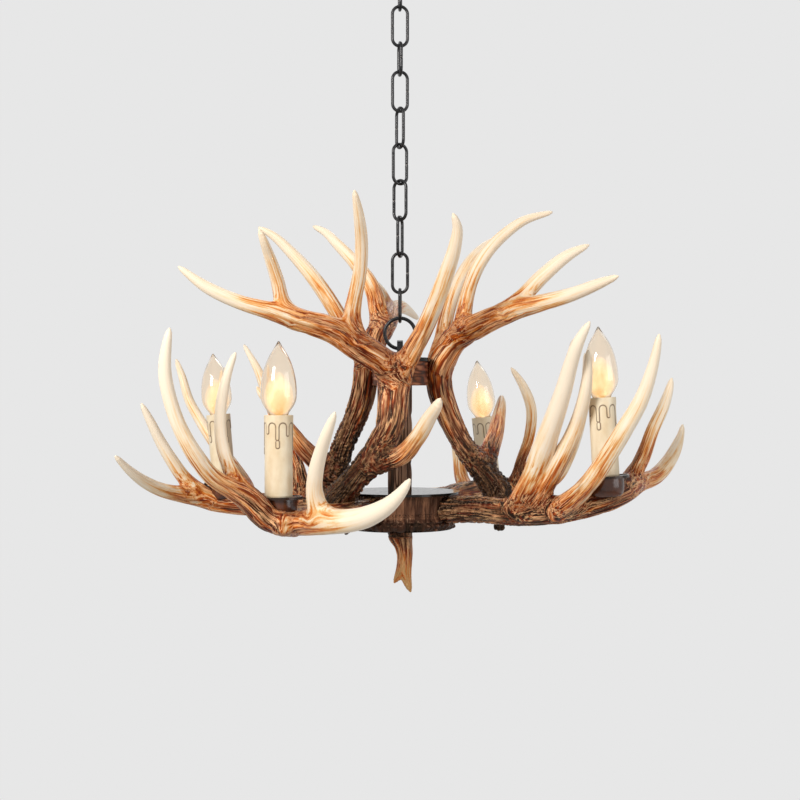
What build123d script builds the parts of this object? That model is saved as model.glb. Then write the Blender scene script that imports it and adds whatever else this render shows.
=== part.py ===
"""Antler chandelier: chain from a ceiling canopy, seven cast antlers, four candle lamps.

Millimetres. z = 0 is the ceiling, +Z up, the front is towards -Y. Heights follow each other
from the ceiling down, so a changed length moves everything that hangs below it.
"""

import os
from math import cos, radians, sin, sqrt

from build123d import *

os.makedirs("parts", exist_ok=True)

# Clearances
fit = 0.1
running_fit = 0.06
pocket_gap = 0.4
play = 0.1

# Ceiling canopy with its bracket and loop
canopy_r = 60
canopy_foot_r = 44
canopy_h = 30
canopy_wall = 1.4
canopy_turn = 60
bracket_length = 92
bracket_width = 18
bracket_t = 2.5
screw_hole_r = 2.5
screw_spacing = 70
terminal_length = 30
terminal_width = 14
terminal_h = 12
terminal_hole_r = 1.8
collar_r = 9
collar_h = 5
loop_r = 8
loop_wire_r = 2.2
loop_weld = 1

# Threaded tube, used for the loop's nipple, the eye's shank and the centre rod
tube_r = 5
tube_bore_r = 3

# Chain of round wire. Half lengths run from the link's middle to the crown wire's centre.
wire_r = 1.8
crown_r = 8.25
long_half = 21.7
short_half = 17.7
link_halves = [long_half] * 2 + [short_half] + [long_half] * 6 + [short_half]
link_yaws = [-85, 5, -80, 10, -63, 28, -37, 73, 0, 88]
ring_r = 16.7
ring_wire_r = 2
ring_yaw = 0

# Lifting eye
eye_hole_r = 5
eye_r = 12
eye_t = 6.5
eye_flange_r = 10
eye_flange_h = 2.6
shank_length = 14

# Upper hub and its plate
upper_plate_r = 33.5
upper_plate_t = 4
upper_hub_r = 30.5
upper_hub_h = 26
upper_hub_wall = 6
upper_hub_floor = 6
coupling_r = 8
coupling_h = 13
rod_gap = 2
thread_slack = 0.5
bush_r = 4
bush_flange_r = 6
bush_flange_t = 1.5
bush_y = 18

# Column, lower hub and finial
leg_drop = 147
sleeve_r = 13.5
bark_grooves = 14
bark_groove_r = 1.3
hub_plate_r = 65
hub_plate_t = 2.5
hub_r = 59
hub_rim_r = 64
hub_h = 38
hub_rim_h = 14
hub_rim_tuck = 5
hub_wall = 8
hub_floor = 6
hub_ribs = 36
rib_groove_r = 2
rib_groove_depth = 1.2
seat_drop = 16
nut_r = 9
nut_h = 8
finial_gap = 3
finial_cap_r = 15
finial_cap_h = 6
finial_grip = 12
finial_stem_wall = 3

# Bolts
bolt_r = 3
bolt_head_r = 5
bolt_head_h = 4
bolt_bite = 22
bolt_tip_gap = 1
bolt_head_gap = 0.02
bore_in = 3
bore_out = 1
stud_r = 2.5

# Candle lamps, heights measured up from the underside of the drip pan
pan_r = 23.3
pan_t = 1.5
pan_lip_t = 1.2
pan_lip_h = 1
cup_top_r = 18
cup_foot_r = 14
cup_h = 18
candle_r = 14
candle_wall = 2
candle_h = 79
holder_h = 70
stem_length = 17
cap_r = 6.8
cap_h = 24
cap_tip_r = 3
cap_tip_h = 2
cap_sink = 2
bulb_r = 17.5
bulb_h = 80
bulb_neck_r = 8
bulb_shoulder_r = 8.4
bulb_wall = 0.8
bulb_middle_share = 0.36
bulb_neck_share = 0.08
bulb_shoulder_share = 0.84

# Heights, from the ceiling down
collar_bottom = -canopy_h - collar_h
loop_middle = collar_bottom - loop_r + loop_weld
hook_z = loop_middle - loop_r
link_middles = []
crown_z = hook_z
above_r = loop_wire_r
for half in link_halves:
    link_middles.append(crown_z + above_r + wire_r + play - half)
    crown_z = link_middles[-1] - half
    above_r = wire_r
ring_middle = crown_z + wire_r + ring_wire_r + play - ring_r
ring_bottom = ring_middle - ring_r
# The ring's wire rises a little towards the eye's faces, and the hole clears it there.
wire_rise = ring_r - sqrt(ring_r**2 - (eye_t / 2) ** 2)
eye_z = ring_bottom + ring_wire_r + wire_rise + play - eye_hole_r
eye_foot = eye_z - eye_hole_r - eye_flange_h
upper_plate_bottom = eye_foot - upper_plate_t
upper_seat_z = upper_plate_bottom - upper_hub_h / 2
upper_hub_bottom = upper_plate_bottom - upper_hub_h
lower_seat_z = upper_seat_z - leg_drop
hub_top = lower_seat_z + seat_drop
hub_plate_top = hub_top + hub_plate_t
hub_bottom = hub_top - hub_h
sleeve_h = upper_hub_bottom - hub_plate_top
finial_top = hub_bottom - finial_gap
rod_top = upper_plate_bottom - rod_gap
rod_bottom = finial_top - finial_grip

# Antlers. Each limb is a line of (out, side, up, radius): out from the hub's wall, side to the
# left as seen from the hub, up from the bolting height. A lower antler's first limb is its beam.
lower_antlers = {
    "front_left": (
        -120.5,
        [
            [(-4, 0, 1, 14.5), (46, -1, -1, 14), (89, 0, 0, 14), (130, 0, 0, 14), (160, 1, -1, 12.5),
             (178, 12, 1, 12.5)],
            [(150, 0, -1, 12), (178, -5, 5, 12.5), (197, -14, 24, 12), (211, -20, 33, 10),
             (234, -31, 49, 8.5), (249, -36, 67, 8), (262, -42, 90, 7), (272, -46, 116, 6.5),
             (279, -47, 144, 6), (280, -44, 168, 4.5), (279, -41, 184, 1.2)],
            [(190, -8, 16, 11), (198, -18, 31, 9.5), (205, -27, 48, 7.5), (210, -34, 70, 6.3),
             (210, -38, 98, 5.5), (206, -37, 128, 5), (199, -33, 154, 3.3), (196, -30, 164, 1.2)],
            [(145, 0, -1, 12.5), (165, 29, 2, 13), (178, 55, 6, 13.5), (189, 88, 8, 11),
             (198, 120, 15, 9.5), (202, 144, 27, 7), (203, 158, 40, 4.5), (203, 165, 50, 1.5)],
            [(178, 56, 9, 11.5), (184, 54, 22, 9.3), (191, 56, 35, 7.8), (200, 64, 54, 7),
             (208, 75, 73, 6), (215, 87, 91, 4.8), (220, 98, 108, 1.3)],
        ],
    ),
    "right": (
        -31,
        [
            [(-4, -1, 0, 15), (39, 1, 2, 15), (80, -2, 1, 14.5), (117, -5, 3, 14), (151, -6, 10, 14.5),
             (178, 2, 17, 14), (190, 29, 25, 12.5), (193, 66, 32, 10), (199, 97, 38, 9),
             (203, 122, 51, 8), (205, 145, 69, 6), (206, 156, 83, 3.5), (206, 160, 92, 1.2)],
            [(189, 27, 26, 10.5), (191, 48, 39, 9.5), (197, 61, 57, 8.2), (204, 74, 87, 7),
             (212, 86, 113, 6), (215, 92, 128, 4.5), (217, 96, 142, 1.5)],
            [(132, -9, 6, 12), (164, -32, 23, 10.5), (187, -45, 41, 9.5), (202, -45, 62, 9),
             (220, -46, 89, 8.6), (238, -47, 118, 7.3), (250, -51, 146, 5.6), (257, -55, 168, 3.9),
             (260, -57, 181, 1.2)],
            [(110, -11, 12, 11), (126, -15, 36, 10), (146, -19, 66, 8.6), (160, -23, 92, 7.6),
             (173, -34, 118, 6.5), (180, -41, 143, 5), (182, -44, 168, 1.2)],
            [(83, -4, 4, 13), (96, -10, 19, 13), (108, -16, 36, 12.3), (126, -29, 68, 11.3),
             (143, -40, 98, 10), (159, -51, 128, 8.4), (171, -60, 154, 7), (181, -66, 173, 5.9),
             (195, -69, 194, 1.5)],
        ],
    ),
    "back_left": (
        152,
        [
            [(-4, 0, 0, 15), (45, 1, -2, 14.5), (90, 0, -5, 14.5), (136, 4, -2, 14.5), (175, 11, 1, 14),
             (192, 28, 6, 12), (200, 52, 10, 9.6), (204, 83, 17, 8), (205, 110, 27, 6.8),
             (204, 136, 40, 5), (204, 162, 58, 1.5)],
            [(180, 16, 3, 11), (192, 29, 14, 9.6), (200, 42, 27, 8.4), (207, 58, 49, 7.4),
             (213, 72, 72, 6.3), (217, 85, 95, 5), (221, 96, 115, 1.2)],
            [(146, -6, -2, 12), (168, -34, 15, 10), (195, -41, 42, 8.6), (221, -42, 69, 7.4),
             (240, -41, 94, 6.5), (256, -41, 118, 5.8), (267, -41, 148, 4.6), (279, -45, 169, 1.2)],
            [(155, -2, 0, 11), (188, -22, 16, 9), (201, -28, 40, 7.5), (208, -34, 66, 6.4),
             (210, -37, 92, 5.6), (207, -37, 120, 5), (197, -31, 158, 1.2)],
            [(66, 0, -3, 13), (72, -6, 14, 12), (84, -17, 37, 10), (113, -33, 75, 8.6),
             (152, -58, 122, 7), (175, -74, 151, 5.4), (206, -86, 187, 1.5)],
        ],
    ),
    "back_right": (
        60,
        [
            [(-4, 4, 1, 14.5), (47, 7, 3, 14), (91, 10, 5, 14), (133, 12, 6, 14), (170, 14, 2, 14),
             (197, 4, 1, 12.5), (213, -22, 7, 10.5), (228, -42, 10, 9), (245, -54, 22, 8.6),
             (260, -62, 46, 8.6), (270, -69, 73, 8.2), (276, -75, 105, 7.4), (280, -79, 137, 6.3),
             (280, -79, 161, 4.6), (279, -78, 179, 1.5)],
            [(210, -20, 8, 10), (215, -31, 26, 8.6), (218, -44, 55, 8), (221, -57, 93, 7.4),
             (224, -70, 130, 6.6), (224, -79, 165, 5.2), (224, -85, 194, 1.3)],
            [(200, -2, 4, 9), (205, -13, 18, 7.6), (206, -22, 43, 6.6), (207, -33, 74, 6.8),
             (205, -36, 109, 6.6), (200, -29, 133, 5.7), (191, -15, 159, 1.4)],
            [(172, 18, 3, 12.5), (185, 42, 7, 10), (195, 56, 19, 9), (204, 64, 41, 8.4), (213, 73, 66, 7),
             (220, 83, 92, 5), (224, 90, 111, 1.5)],
            [(172, 18, 1, 12), (188, 52, -1, 10), (199, 89, -3, 8.8), (205, 122, -3, 6.6),
             (207, 143, 0, 4), (207, 154, 3, 1.5)],
        ],
    ),
}

# An upper antler stands on the lower ones with its leg. Its leg and brow tine give up as a share
# of the leg's drop, 0 at the lower antlers' bolting height and 1 at its own, and its crown gives
# up in millimetres from its own bolting height.
upper_antlers = {
    "front": (
        -90,
        [
            [(16, -56, -0.16, 4), (19, -60, -0.08, 11), (29, -66, 0.07, 16.5), (41, -52, 0.2, 15),
             (42, -28, 0.4, 15), (31, -12, 0.59, 16.5), (20, -8, 0.8, 17.5), (14, -8, 0.97, 17),
             (18, -11, 1.03, 15.5)],
            [(41, -32, 0.34, 13), (50, -12, 0.38, 12), (62, 1, 0.42, 11), (82, 17, 0.54, 9),
             (104, 30, 0.69, 7), (118, 37, 0.77, 5), (124, 40, 0.82, 2)],
        ],
        [
            [(15, -4, -4, 15.5), (24, -21, 14, 16), (33, -42, 27, 16), (46, -70, 44, 14.5),
             (62, -103, 53, 12), (72, -133, 62, 9.5), (79, -162, 70, 7.5), (86, -197, 86, 6),
             (91, -224, 106, 1.5)],
            [(34, -46, 32, 12), (41, -50, 60, 9.6), (48, -47, 76, 8.2), (64, -41, 104, 7.2),
             (84, -39, 133, 6.5), (104, -41, 155, 5.4), (124, -45, 178, 1.5)],
            [(60, -108, 54, 9), (65, -120, 71, 8), (74, -125, 93, 7), (91, -132, 117, 5.6),
             (104, -136, 130, 4.2), (112, -140, 141, 1.5)],
            [(18, -2, -2, 14), (27, 12, 22, 11.5), (38, 25, 45, 9.8), (58, 37, 72, 9), (80, 48, 102, 8),
             (98, 55, 125, 6.6), (110, 57, 142, 5), (120, 52, 156, 1.5)],
        ],
    ),
    "right": (
        30,
        [
            [(43, -84, -0.14, 5), (44, -85, -0.05, 11), (46, -81, 0.09, 16), (42, -55, 0.27, 15),
             (33, -23, 0.5, 13), (22, -12, 0.72, 14), (15, -8, 0.9, 15), (15, -7, 1.05, 15),
             (22, -7, 1.17, 14.5)],
            [(44, -58, 0.27, 12), (58, -42, 0.4, 11.4), (82, -19, 0.54, 9.5), (102, 4, 0.66, 8),
             (120, 25, 0.78, 5.4), (128, 36, 0.84, 2)],
        ],
        [
            [(15, -6, 4, 14), (26, -23, 38, 15), (30, -47, 47, 14.5), (38, -74, 57, 13),
             (50, -104, 67, 11.6), (61, -134, 72, 9.2), (76, -165, 79, 7.4), (87, -201, 89, 5.4),
             (92, -225, 95, 1.5)],
            [(28, -32, 42, 10), (27, -39, 64, 9), (34, -37, 89, 8), (46, -35, 114, 7.6),
             (63, -35, 137, 7), (83, -35, 155, 6.4), (108, -38, 172, 5.2), (141, -48, 183, 1.5)],
            [(44, -92, 64, 9), (58, -109, 82, 8.6), (75, -119, 102, 8), (99, -131, 124, 6.2),
             (120, -142, 136, 1.5)],
            [(20, -6, 24, 11.5), (28, 3, 49, 9.2), (43, 15, 78, 8), (66, 27, 112, 7.5),
             (90, 37, 137, 6.5), (113, 44, 153, 5), (131, 48, 163, 1.5)],
        ],
    ),
    "left": (
        150,
        [
            [(74, -27, -0.19, 5), (73, -26, -0.11, 11), (70, -23, 0.02, 16), (63, -16, 0.2, 15),
             (51, -10, 0.42, 14.5), (34, -7, 0.63, 14.5), (21, -5, 0.82, 14.5), (14.5, -3, 1, 14.5),
             (12, -5, 1.14, 15)],
            [(60, -17, 0.15, 13), (72, -1, 0.29, 12), (87, 16, 0.44, 10.6), (104, 26, 0.61, 8.5),
             (119, 34, 0.77, 6), (129, 40, 0.87, 3.8), (132, 42, 0.91, 1.5)],
        ],
        [
            [(13, -4, 6, 14), (12, -17, 38, 14.5), (15, -43, 55, 13.5), (27, -76, 70, 12),
             (43, -113, 79, 10), (59, -156, 85, 8), (73, -200, 83, 5.8), (80, -238, 75, 1.5)],
            [(14, -32, 46, 12), (22, -41, 76, 11.4), (34, -46, 101, 9.8), (59, -50, 130, 7.6),
             (83, -52, 152, 6.3), (104, -55, 169, 4.5), (121, -55, 177, 1.5)],
            [(34, -84, 70, 9), (50, -98, 93, 8), (76, -112, 113, 7), (101, -126, 128, 5),
             (118, -134, 136, 1.5)],
            [(13, -4, 16, 12), (27, 3, 34, 10.5), (45, 11, 69, 9.5), (66, 21, 104, 8.4),
             (90, 33, 135, 6.5), (108, 45, 155, 4.6), (121, 55, 164, 1.5)],
        ],
    ),
}

# Candles: out, side and up of the drip pan's underside, and the lean to the left in degrees.
candle_seats = {
    "front_left": (159, -7, 23, 0),
    "right": (185, -6, 40, 3),
    "back_left": (169, 8, 21, 5),
    "back_right": (184, 11, 16.5, 6),
}

# The lower antler that each upper antler stands on, and how far out along its beam
footings = {"front": ("front_left", 29), "right": ("right", 49), "left": ("back_left", 40)}


def beside(azimuth, wall_r, seat_z):
    """Give the place function of an antler bolted to a wall of that radius and height."""
    out_x, out_y = cos(radians(azimuth)), sin(radians(azimuth))

    def place(out, side, up):
        reach = wall_r + out
        return Vector(reach * out_x - side * out_y, reach * out_y + side * out_x, seat_z + up)

    return place


def loft_limb(centres, radii):
    """Loft round sections square to the limb's line, without twist, into one solid."""
    rounds = []
    sideways = None
    for i, centre in enumerate(centres):
        before = centres[max(i - 1, 0)]
        after = centres[min(i + 1, len(centres) - 1)]
        along = (after - before).normalized()
        if sideways is None:
            sideways = along.cross(Vector(0.3, 0.5, 0.8)).normalized()
        sideways = (sideways - along * sideways.dot(along)).normalized()
        rounds.append(Plane(centre, x_dir=sideways, z_dir=along) * Circle(radii[i]))
    return loft(rounds)


def loft_limbs(limbs, place):
    """Loft all limbs of an antler."""
    return [loft_limb([place(*p[:3]) for p in limb], [p[3] for p in limb]) for limb in limbs]


def stretched(limb):
    """Turn a leg limb's share of the drop into a height over the upper bolting place."""
    return [(out, side, (share - 1) * leg_drop, radius) for out, side, share, radius in limb]


def bar(start, end, radius, over=0):
    """A round bar between two points, longer by over at both ends."""
    along = (end - start).normalized()
    middle = Plane((start + end) / 2, z_dir=along)
    return middle * Cylinder(radius, (end - start).length + 2 * over, mode=Mode.PRIVATE)


def bolt_bore(place, reach_in, reach_out, radius):
    """A bar along an antler's bolt, from reach_in before the hub's wall to reach_out past it."""
    return bar(place(-reach_in, 0, 0), place(reach_out, 0, 0), radius)


def disc(radius, bottom, height):
    """An upright cylinder on the axis."""
    return Pos(0, 0, bottom + height / 2) * Cylinder(radius, height, mode=Mode.PRIVATE)


def save(piece, name):
    """Label a finished piece and write its STEP file."""
    piece.part.label = name
    export_step(piece.part, f"parts/{name}.step")


# Ceiling bracket: a strap with two screw holes and the nipple's threaded hole
with BuildPart() as ceiling_bracket:
    with Locations((0, 0, -bracket_t / 2)):
        Box(bracket_length, bracket_width, bracket_t)
    with Locations((-screw_spacing / 2, 0, -bracket_t / 2), (screw_spacing / 2, 0, -bracket_t / 2)):
        Cylinder(screw_hole_r, 2 * bracket_t, mode=Mode.SUBTRACT)
    Cylinder(tube_r + running_fit, 4 * bracket_t, mode=Mode.SUBTRACT)
save(ceiling_bracket, "ceiling_bracket")

# Canopy: a spun cup, open to the ceiling, clamped by the loop's collar
with BuildPart() as canopy:
    with BuildSketch(Plane.XZ):
        with BuildLine():
            rim = Line((canopy_r, 0), (canopy_r, -canopy_h / 4))
            shoulder = JernArc(rim @ 1, (0, -1), canopy_h / 2, -canopy_turn)
            Polyline(
                shoulder @ 1,
                (canopy_foot_r, -canopy_h),
                (tube_r + fit, -canopy_h),
                (tube_r + fit, canopy_wall - canopy_h),
                (canopy_foot_r - canopy_wall / 2, canopy_wall - canopy_h),
            )
            inner_shoulder = JernArc(
                (canopy_r - canopy_wall, -canopy_h / 4), (0, -1), canopy_h / 2 - canopy_wall, -canopy_turn
            )
            Line(inner_shoulder @ 1, (canopy_foot_r - canopy_wall / 2, canopy_wall - canopy_h))
            Polyline(inner_shoulder @ 0, (canopy_r - canopy_wall, 0), rim @ 0)
        make_face()
    revolve(axis=Axis.Z)
save(canopy, "canopy")

# Terminal block on the bracket's underside
terminal_x = (tube_r + screw_spacing / 2) / 2
with BuildPart() as terminal_block:
    with Locations((-terminal_x, 0, -bracket_t - terminal_h / 2)):
        Box(terminal_width, terminal_length, terminal_h)
    with GridLocations(0, terminal_length / 3, 1, 3):
        with Locations((-terminal_x, 0, -bracket_t - terminal_h)):
            Cylinder(terminal_hole_r, terminal_h, mode=Mode.SUBTRACT)
save(terminal_block, "terminal_block")

# Canopy loop: nipple through canopy and bracket, collar, wire loop
with BuildPart() as canopy_loop:
    with BuildSketch(Plane.XY.offset(-canopy_h)):
        Circle(tube_r)
    extrude(amount=canopy_h)
    with BuildSketch(Plane.XY.offset(collar_bottom)):
        Circle(collar_r)
    extrude(amount=collar_h)
    with Locations(Location((0, 0, loop_middle), (90, 0, 0))):
        Torus(loop_r, loop_wire_r)
save(canopy_loop, "canopy_loop")

# Chain, from the canopy down: chain_link_10 is the top link, chain_link_01 the bottom one
for number, (half, middle, yaw) in enumerate(zip(link_halves, link_middles, link_yaws)):
    straight = half - crown_r
    across = Vector(cos(radians(yaw)), sin(radians(yaw)), 0)
    face_plane = Plane((0, 0, middle), x_dir=across, z_dir=across.cross(Vector(0, 0, 1)))
    with BuildPart() as chain_link:
        with BuildLine(face_plane) as run:
            right_side = Line((crown_r, -straight), (crown_r, straight))
            top_crown = JernArc(right_side @ 1, (0, 1), crown_r, 180)
            left_side = Line(top_crown @ 1, (-crown_r, -straight))
            JernArc(left_side @ 1, (0, -1), crown_r, 180)
        with BuildSketch(Plane(across * crown_r + Vector(0, 0, middle - straight), z_dir=(0, 0, 1))):
            Circle(wire_r)
        sweep(path=run.wire())
    save(chain_link, f"chain_link_{len(link_halves) - number:02d}")

with BuildPart() as hanging_ring:
    with Locations(Location((0, 0, ring_middle), (90, 0, ring_yaw))):
        Torus(ring_r, ring_wire_r)
save(hanging_ring, "hanging_ring")

# Lifting eye: upright lug, flange on the upper plate, threaded shank into the coupling
with BuildPart() as lifting_eye:
    with BuildSketch(Plane.YZ.offset(-eye_t / 2)):
        with Locations((0, eye_z)):
            Circle(eye_r)
        with Locations((0, eye_foot - eye_r)):
            Rectangle(3 * eye_r, 2 * eye_r, mode=Mode.SUBTRACT)
    extrude(amount=eye_t)
    with BuildSketch(Plane.XY.offset(eye_foot)):
        Circle(eye_flange_r)
    extrude(amount=eye_flange_h)
    with BuildSketch(Plane.XY.offset(eye_foot)):
        Circle(tube_r)
    extrude(amount=-shank_length)
    with Locations(Location((0, 0, eye_z), (0, 90, 0))):
        Cylinder(eye_hole_r, 4 * eye_t, mode=Mode.SUBTRACT)
save(lifting_eye, "lifting_eye")

# Upper plate, with the shank's hole and the cable bush's hole
with BuildPart() as upper_plate:
    add(disc(upper_plate_r, upper_plate_bottom, upper_plate_t))
    with Locations((0, 0, upper_plate_bottom)):
        Cylinder(tube_r + fit, 4 * upper_plate_t, mode=Mode.SUBTRACT)
    with Locations((0, bush_y, upper_plate_bottom)):
        Cylinder(bush_r + fit, 4 * upper_plate_t, mode=Mode.SUBTRACT)
save(upper_plate, "upper_plate")

with BuildPart() as cable_bush:
    with BuildSketch(Plane.XY.offset(eye_foot)):
        with Locations((0, bush_y)):
            Circle(bush_flange_r)
            Circle(bush_r / 2, mode=Mode.SUBTRACT)
    extrude(amount=bush_flange_t)
    with BuildSketch(Plane.XY.offset(eye_foot)):
        with Locations((0, bush_y)):
            Circle(bush_r)
            Circle(bush_r / 2, mode=Mode.SUBTRACT)
    extrude(amount=-upper_plate_t)
save(cable_bush, "cable_bush")

# Upper hub: a short drum, hollow for the wiring, closed by the upper plate
upper_places = {
    name: beside(azimuth, upper_hub_r, upper_seat_z)
    for name, (azimuth, _, _) in upper_antlers.items()
}
with BuildPart() as upper_hub:
    add(disc(upper_hub_r, upper_hub_bottom, upper_hub_h))
    add(
        disc(upper_hub_r - upper_hub_wall, upper_hub_bottom + upper_hub_floor, upper_hub_h),
        mode=Mode.SUBTRACT,
    )
    with Locations((0, 0, upper_hub_bottom)):
        Cylinder(tube_r + fit, 4 * upper_hub_floor, mode=Mode.SUBTRACT)
    for place in upper_places.values():
        add(bolt_bore(place, upper_hub_wall + bore_in, bore_out, bolt_r + fit), mode=Mode.SUBTRACT)
save(upper_hub, "upper_hub")

# Centre rod: hollow threaded tube with the eye's coupling at its top
with BuildPart() as centre_rod:
    add(disc(tube_r, rod_bottom, rod_top - rod_bottom))
    add(disc(coupling_r, rod_top - coupling_h, coupling_h))
    add(disc(tube_bore_r, rod_bottom, rod_top - rod_bottom), mode=Mode.SUBTRACT)
    add(
        disc(tube_r + running_fit, eye_foot - shank_length - thread_slack, shank_length),
        mode=Mode.SUBTRACT,
    )
save(centre_rod, "centre_rod")

# Column sleeve with bark grooves, from the hub plate to the upper hub
with BuildPart() as column_sleeve:
    add(disc(sleeve_r, hub_plate_top, sleeve_h))
    add(disc(tube_r + fit, hub_plate_top, sleeve_h), mode=Mode.SUBTRACT)
    with PolarLocations(sleeve_r + bark_groove_r / 3, bark_grooves):
        with Locations((0, 0, hub_plate_top + sleeve_h / 2)):
            Cylinder(bark_groove_r, sleeve_h, mode=Mode.SUBTRACT)
save(column_sleeve, "column_sleeve")

with BuildPart() as hub_plate:
    add(disc(hub_plate_r, hub_top, hub_plate_t))
    with Locations((0, 0, hub_top)):
        Cylinder(tube_r + fit, 4 * hub_plate_t, mode=Mode.SUBTRACT)
save(hub_plate, "hub_plate")

# Lower hub: an antler's burr with a flared, ribbed rim, hollow for the wiring
lower_places = {name: beside(azimuth, hub_r, lower_seat_z) for name, (azimuth, _) in lower_antlers.items()}
with BuildPart() as hub_body:
    with BuildSketch(Plane.XZ):
        with BuildLine():
            wall = Polyline((0, hub_bottom), (0, hub_top), (hub_r, hub_top), (hub_r, hub_bottom + hub_rim_h))
            flare = Spline(
                wall @ 1,
                (hub_rim_r, hub_bottom + hub_rim_h / 2),
                (hub_rim_r - hub_rim_tuck, hub_bottom),
                tangents=((0, -1), (-1, -0.4)),
            )
            Line(flare @ 1, wall @ 0)
        make_face()
    revolve(axis=Axis.Z)
hub_blank = hub_body.part

with BuildPart() as burr_hub:
    add(hub_blank)
    add(disc(hub_r - hub_wall, hub_bottom + hub_floor, hub_h), mode=Mode.SUBTRACT)
    with Locations((0, 0, hub_bottom)):
        Cylinder(tube_r + fit, 4 * hub_floor, mode=Mode.SUBTRACT)
    with PolarLocations(hub_r + rib_groove_r - rib_groove_depth, hub_ribs):
        with Locations((0, 0, hub_top)):
            Cylinder(rib_groove_r, 2 * (hub_h - hub_rim_h), mode=Mode.SUBTRACT)
    with PolarLocations(hub_rim_r + rib_groove_r - rib_groove_depth, hub_ribs):
        with Locations((0, 0, hub_bottom)):
            Cylinder(rib_groove_r, 2 * hub_rim_h, mode=Mode.SUBTRACT)
    for place in lower_places.values():
        add(bolt_bore(place, hub_wall + bore_in, bore_out, bolt_r + fit), mode=Mode.SUBTRACT)
save(burr_hub, "burr_hub")

with BuildPart() as lock_nut:
    with BuildSketch(Plane.XY.offset(hub_bottom + hub_floor)):
        RegularPolygon(nut_r, 6)
        Circle(tube_r + running_fit, mode=Mode.SUBTRACT)
    extrude(amount=nut_h)
save(lock_nut, "lock_nut")

# Bolts: heads inside the hubs, shanks through the walls into the antlers
head_sink = {
    "upper": upper_hub_r - sqrt((upper_hub_r - upper_hub_wall) ** 2 - bolt_head_r**2),
    "hub": hub_r - sqrt((hub_r - hub_wall) ** 2 - bolt_head_r**2),
}
for set_name, places in (("upper", upper_places), ("hub", lower_places)):
    head_face = head_sink[set_name] + bolt_head_gap
    with BuildPart() as bolts:
        for place in places.values():
            add(bolt_bore(place, head_face, bolt_bite - bolt_tip_gap, bolt_r))
            add(bolt_bore(place, head_face + bolt_head_h, -head_face, bolt_head_r))
    save(bolts, f"{set_name}_bolts")

# Candle places: the pan's plane for each lower antler
candle_planes = {}
for name, (out, side, up, lean) in candle_seats.items():
    foot = lower_places[name](out, side, up)
    lean_x, lean_z = sin(radians(lean)), cos(radians(lean))
    candle_planes[name] = Plane(foot, x_dir=(lean_z, 0, lean_x), z_dir=(-lean_x, 0, lean_z))

# Lower antlers: limbs fused, cut flat for the hub, the pan's seat, the bolt and the holder's stem
lower_made = {}
for name, (azimuth, limbs) in lower_antlers.items():
    place = lower_places[name]
    lofted = loft_limbs(limbs, place)
    seat = candle_planes[name]
    pocket = seat.offset(-pocket_gap) * Cylinder(
        pan_r + pocket_gap, pan_t + pan_lip_h + 2 * pocket_gap, align=(Align.CENTER, Align.CENTER, Align.MIN)
    )
    stem_bore = seat * Cylinder(tube_r + fit, 2 * stem_length + 2 * fit)
    with BuildPart() as lower_antler:
        for limb in lofted:
            add(limb)
        add(hub_blank, mode=Mode.SUBTRACT)
        add(disc(hub_plate_r, hub_top, hub_plate_t), mode=Mode.SUBTRACT)
        add(pocket, mode=Mode.SUBTRACT)
        add(stem_bore, mode=Mode.SUBTRACT)
        add(bolt_bore(place, 2 * bore_in, bolt_bite, bolt_r + running_fit), mode=Mode.SUBTRACT)
    lower_made[name] = lower_antler.part

# Upper antlers: limbs fused, cut to their hub and saddled on the lower antlers
upper_made = {}
studs = []
for name, (azimuth, leg_limbs, crown_limbs) in upper_antlers.items():
    place = upper_places[name]
    lofted = loft_limbs([stretched(limb) for limb in leg_limbs] + crown_limbs, place)
    footing, footing_out = footings[name]
    sole = stretched(leg_limbs[0])[2]
    stud_ends = (place(*sole[:3]), lower_places[footing](footing_out, 0, 0))
    studs.append(stud_ends)
    with BuildPart() as upper_antler:
        for limb in lofted:
            add(limb)
        add(disc(upper_hub_r, upper_hub_bottom, upper_hub_h), mode=Mode.SUBTRACT)
        add(disc(upper_plate_r, upper_plate_bottom, upper_plate_t), mode=Mode.SUBTRACT)
        add(disc(sleeve_r, hub_plate_top, sleeve_h), mode=Mode.SUBTRACT)
        add(disc(hub_plate_r, hub_top, hub_plate_t), mode=Mode.SUBTRACT)
        add(hub_blank, mode=Mode.SUBTRACT)
        add(lower_made[footing], mode=Mode.SUBTRACT)
        add(bar(*stud_ends, stud_r + running_fit, fit), mode=Mode.SUBTRACT)
        add(bolt_bore(place, 2 * bore_in, bolt_bite, bolt_r + running_fit), mode=Mode.SUBTRACT)
    save(upper_antler, f"upper_antler_{name}")

for name, made in lower_made.items():
    with BuildPart() as lower_antler:
        add(made)
        for stud_ends, (footing, _) in zip(studs, footings.values()):
            if footing == name:
                add(bar(*stud_ends, stud_r + running_fit, fit), mode=Mode.SUBTRACT)
    save(lower_antler, f"lower_antler_{name}")

with BuildPart() as foot_studs:
    for stud_ends in studs:
        add(bar(*stud_ends, stud_r))
save(foot_studs, "foot_studs")

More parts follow.
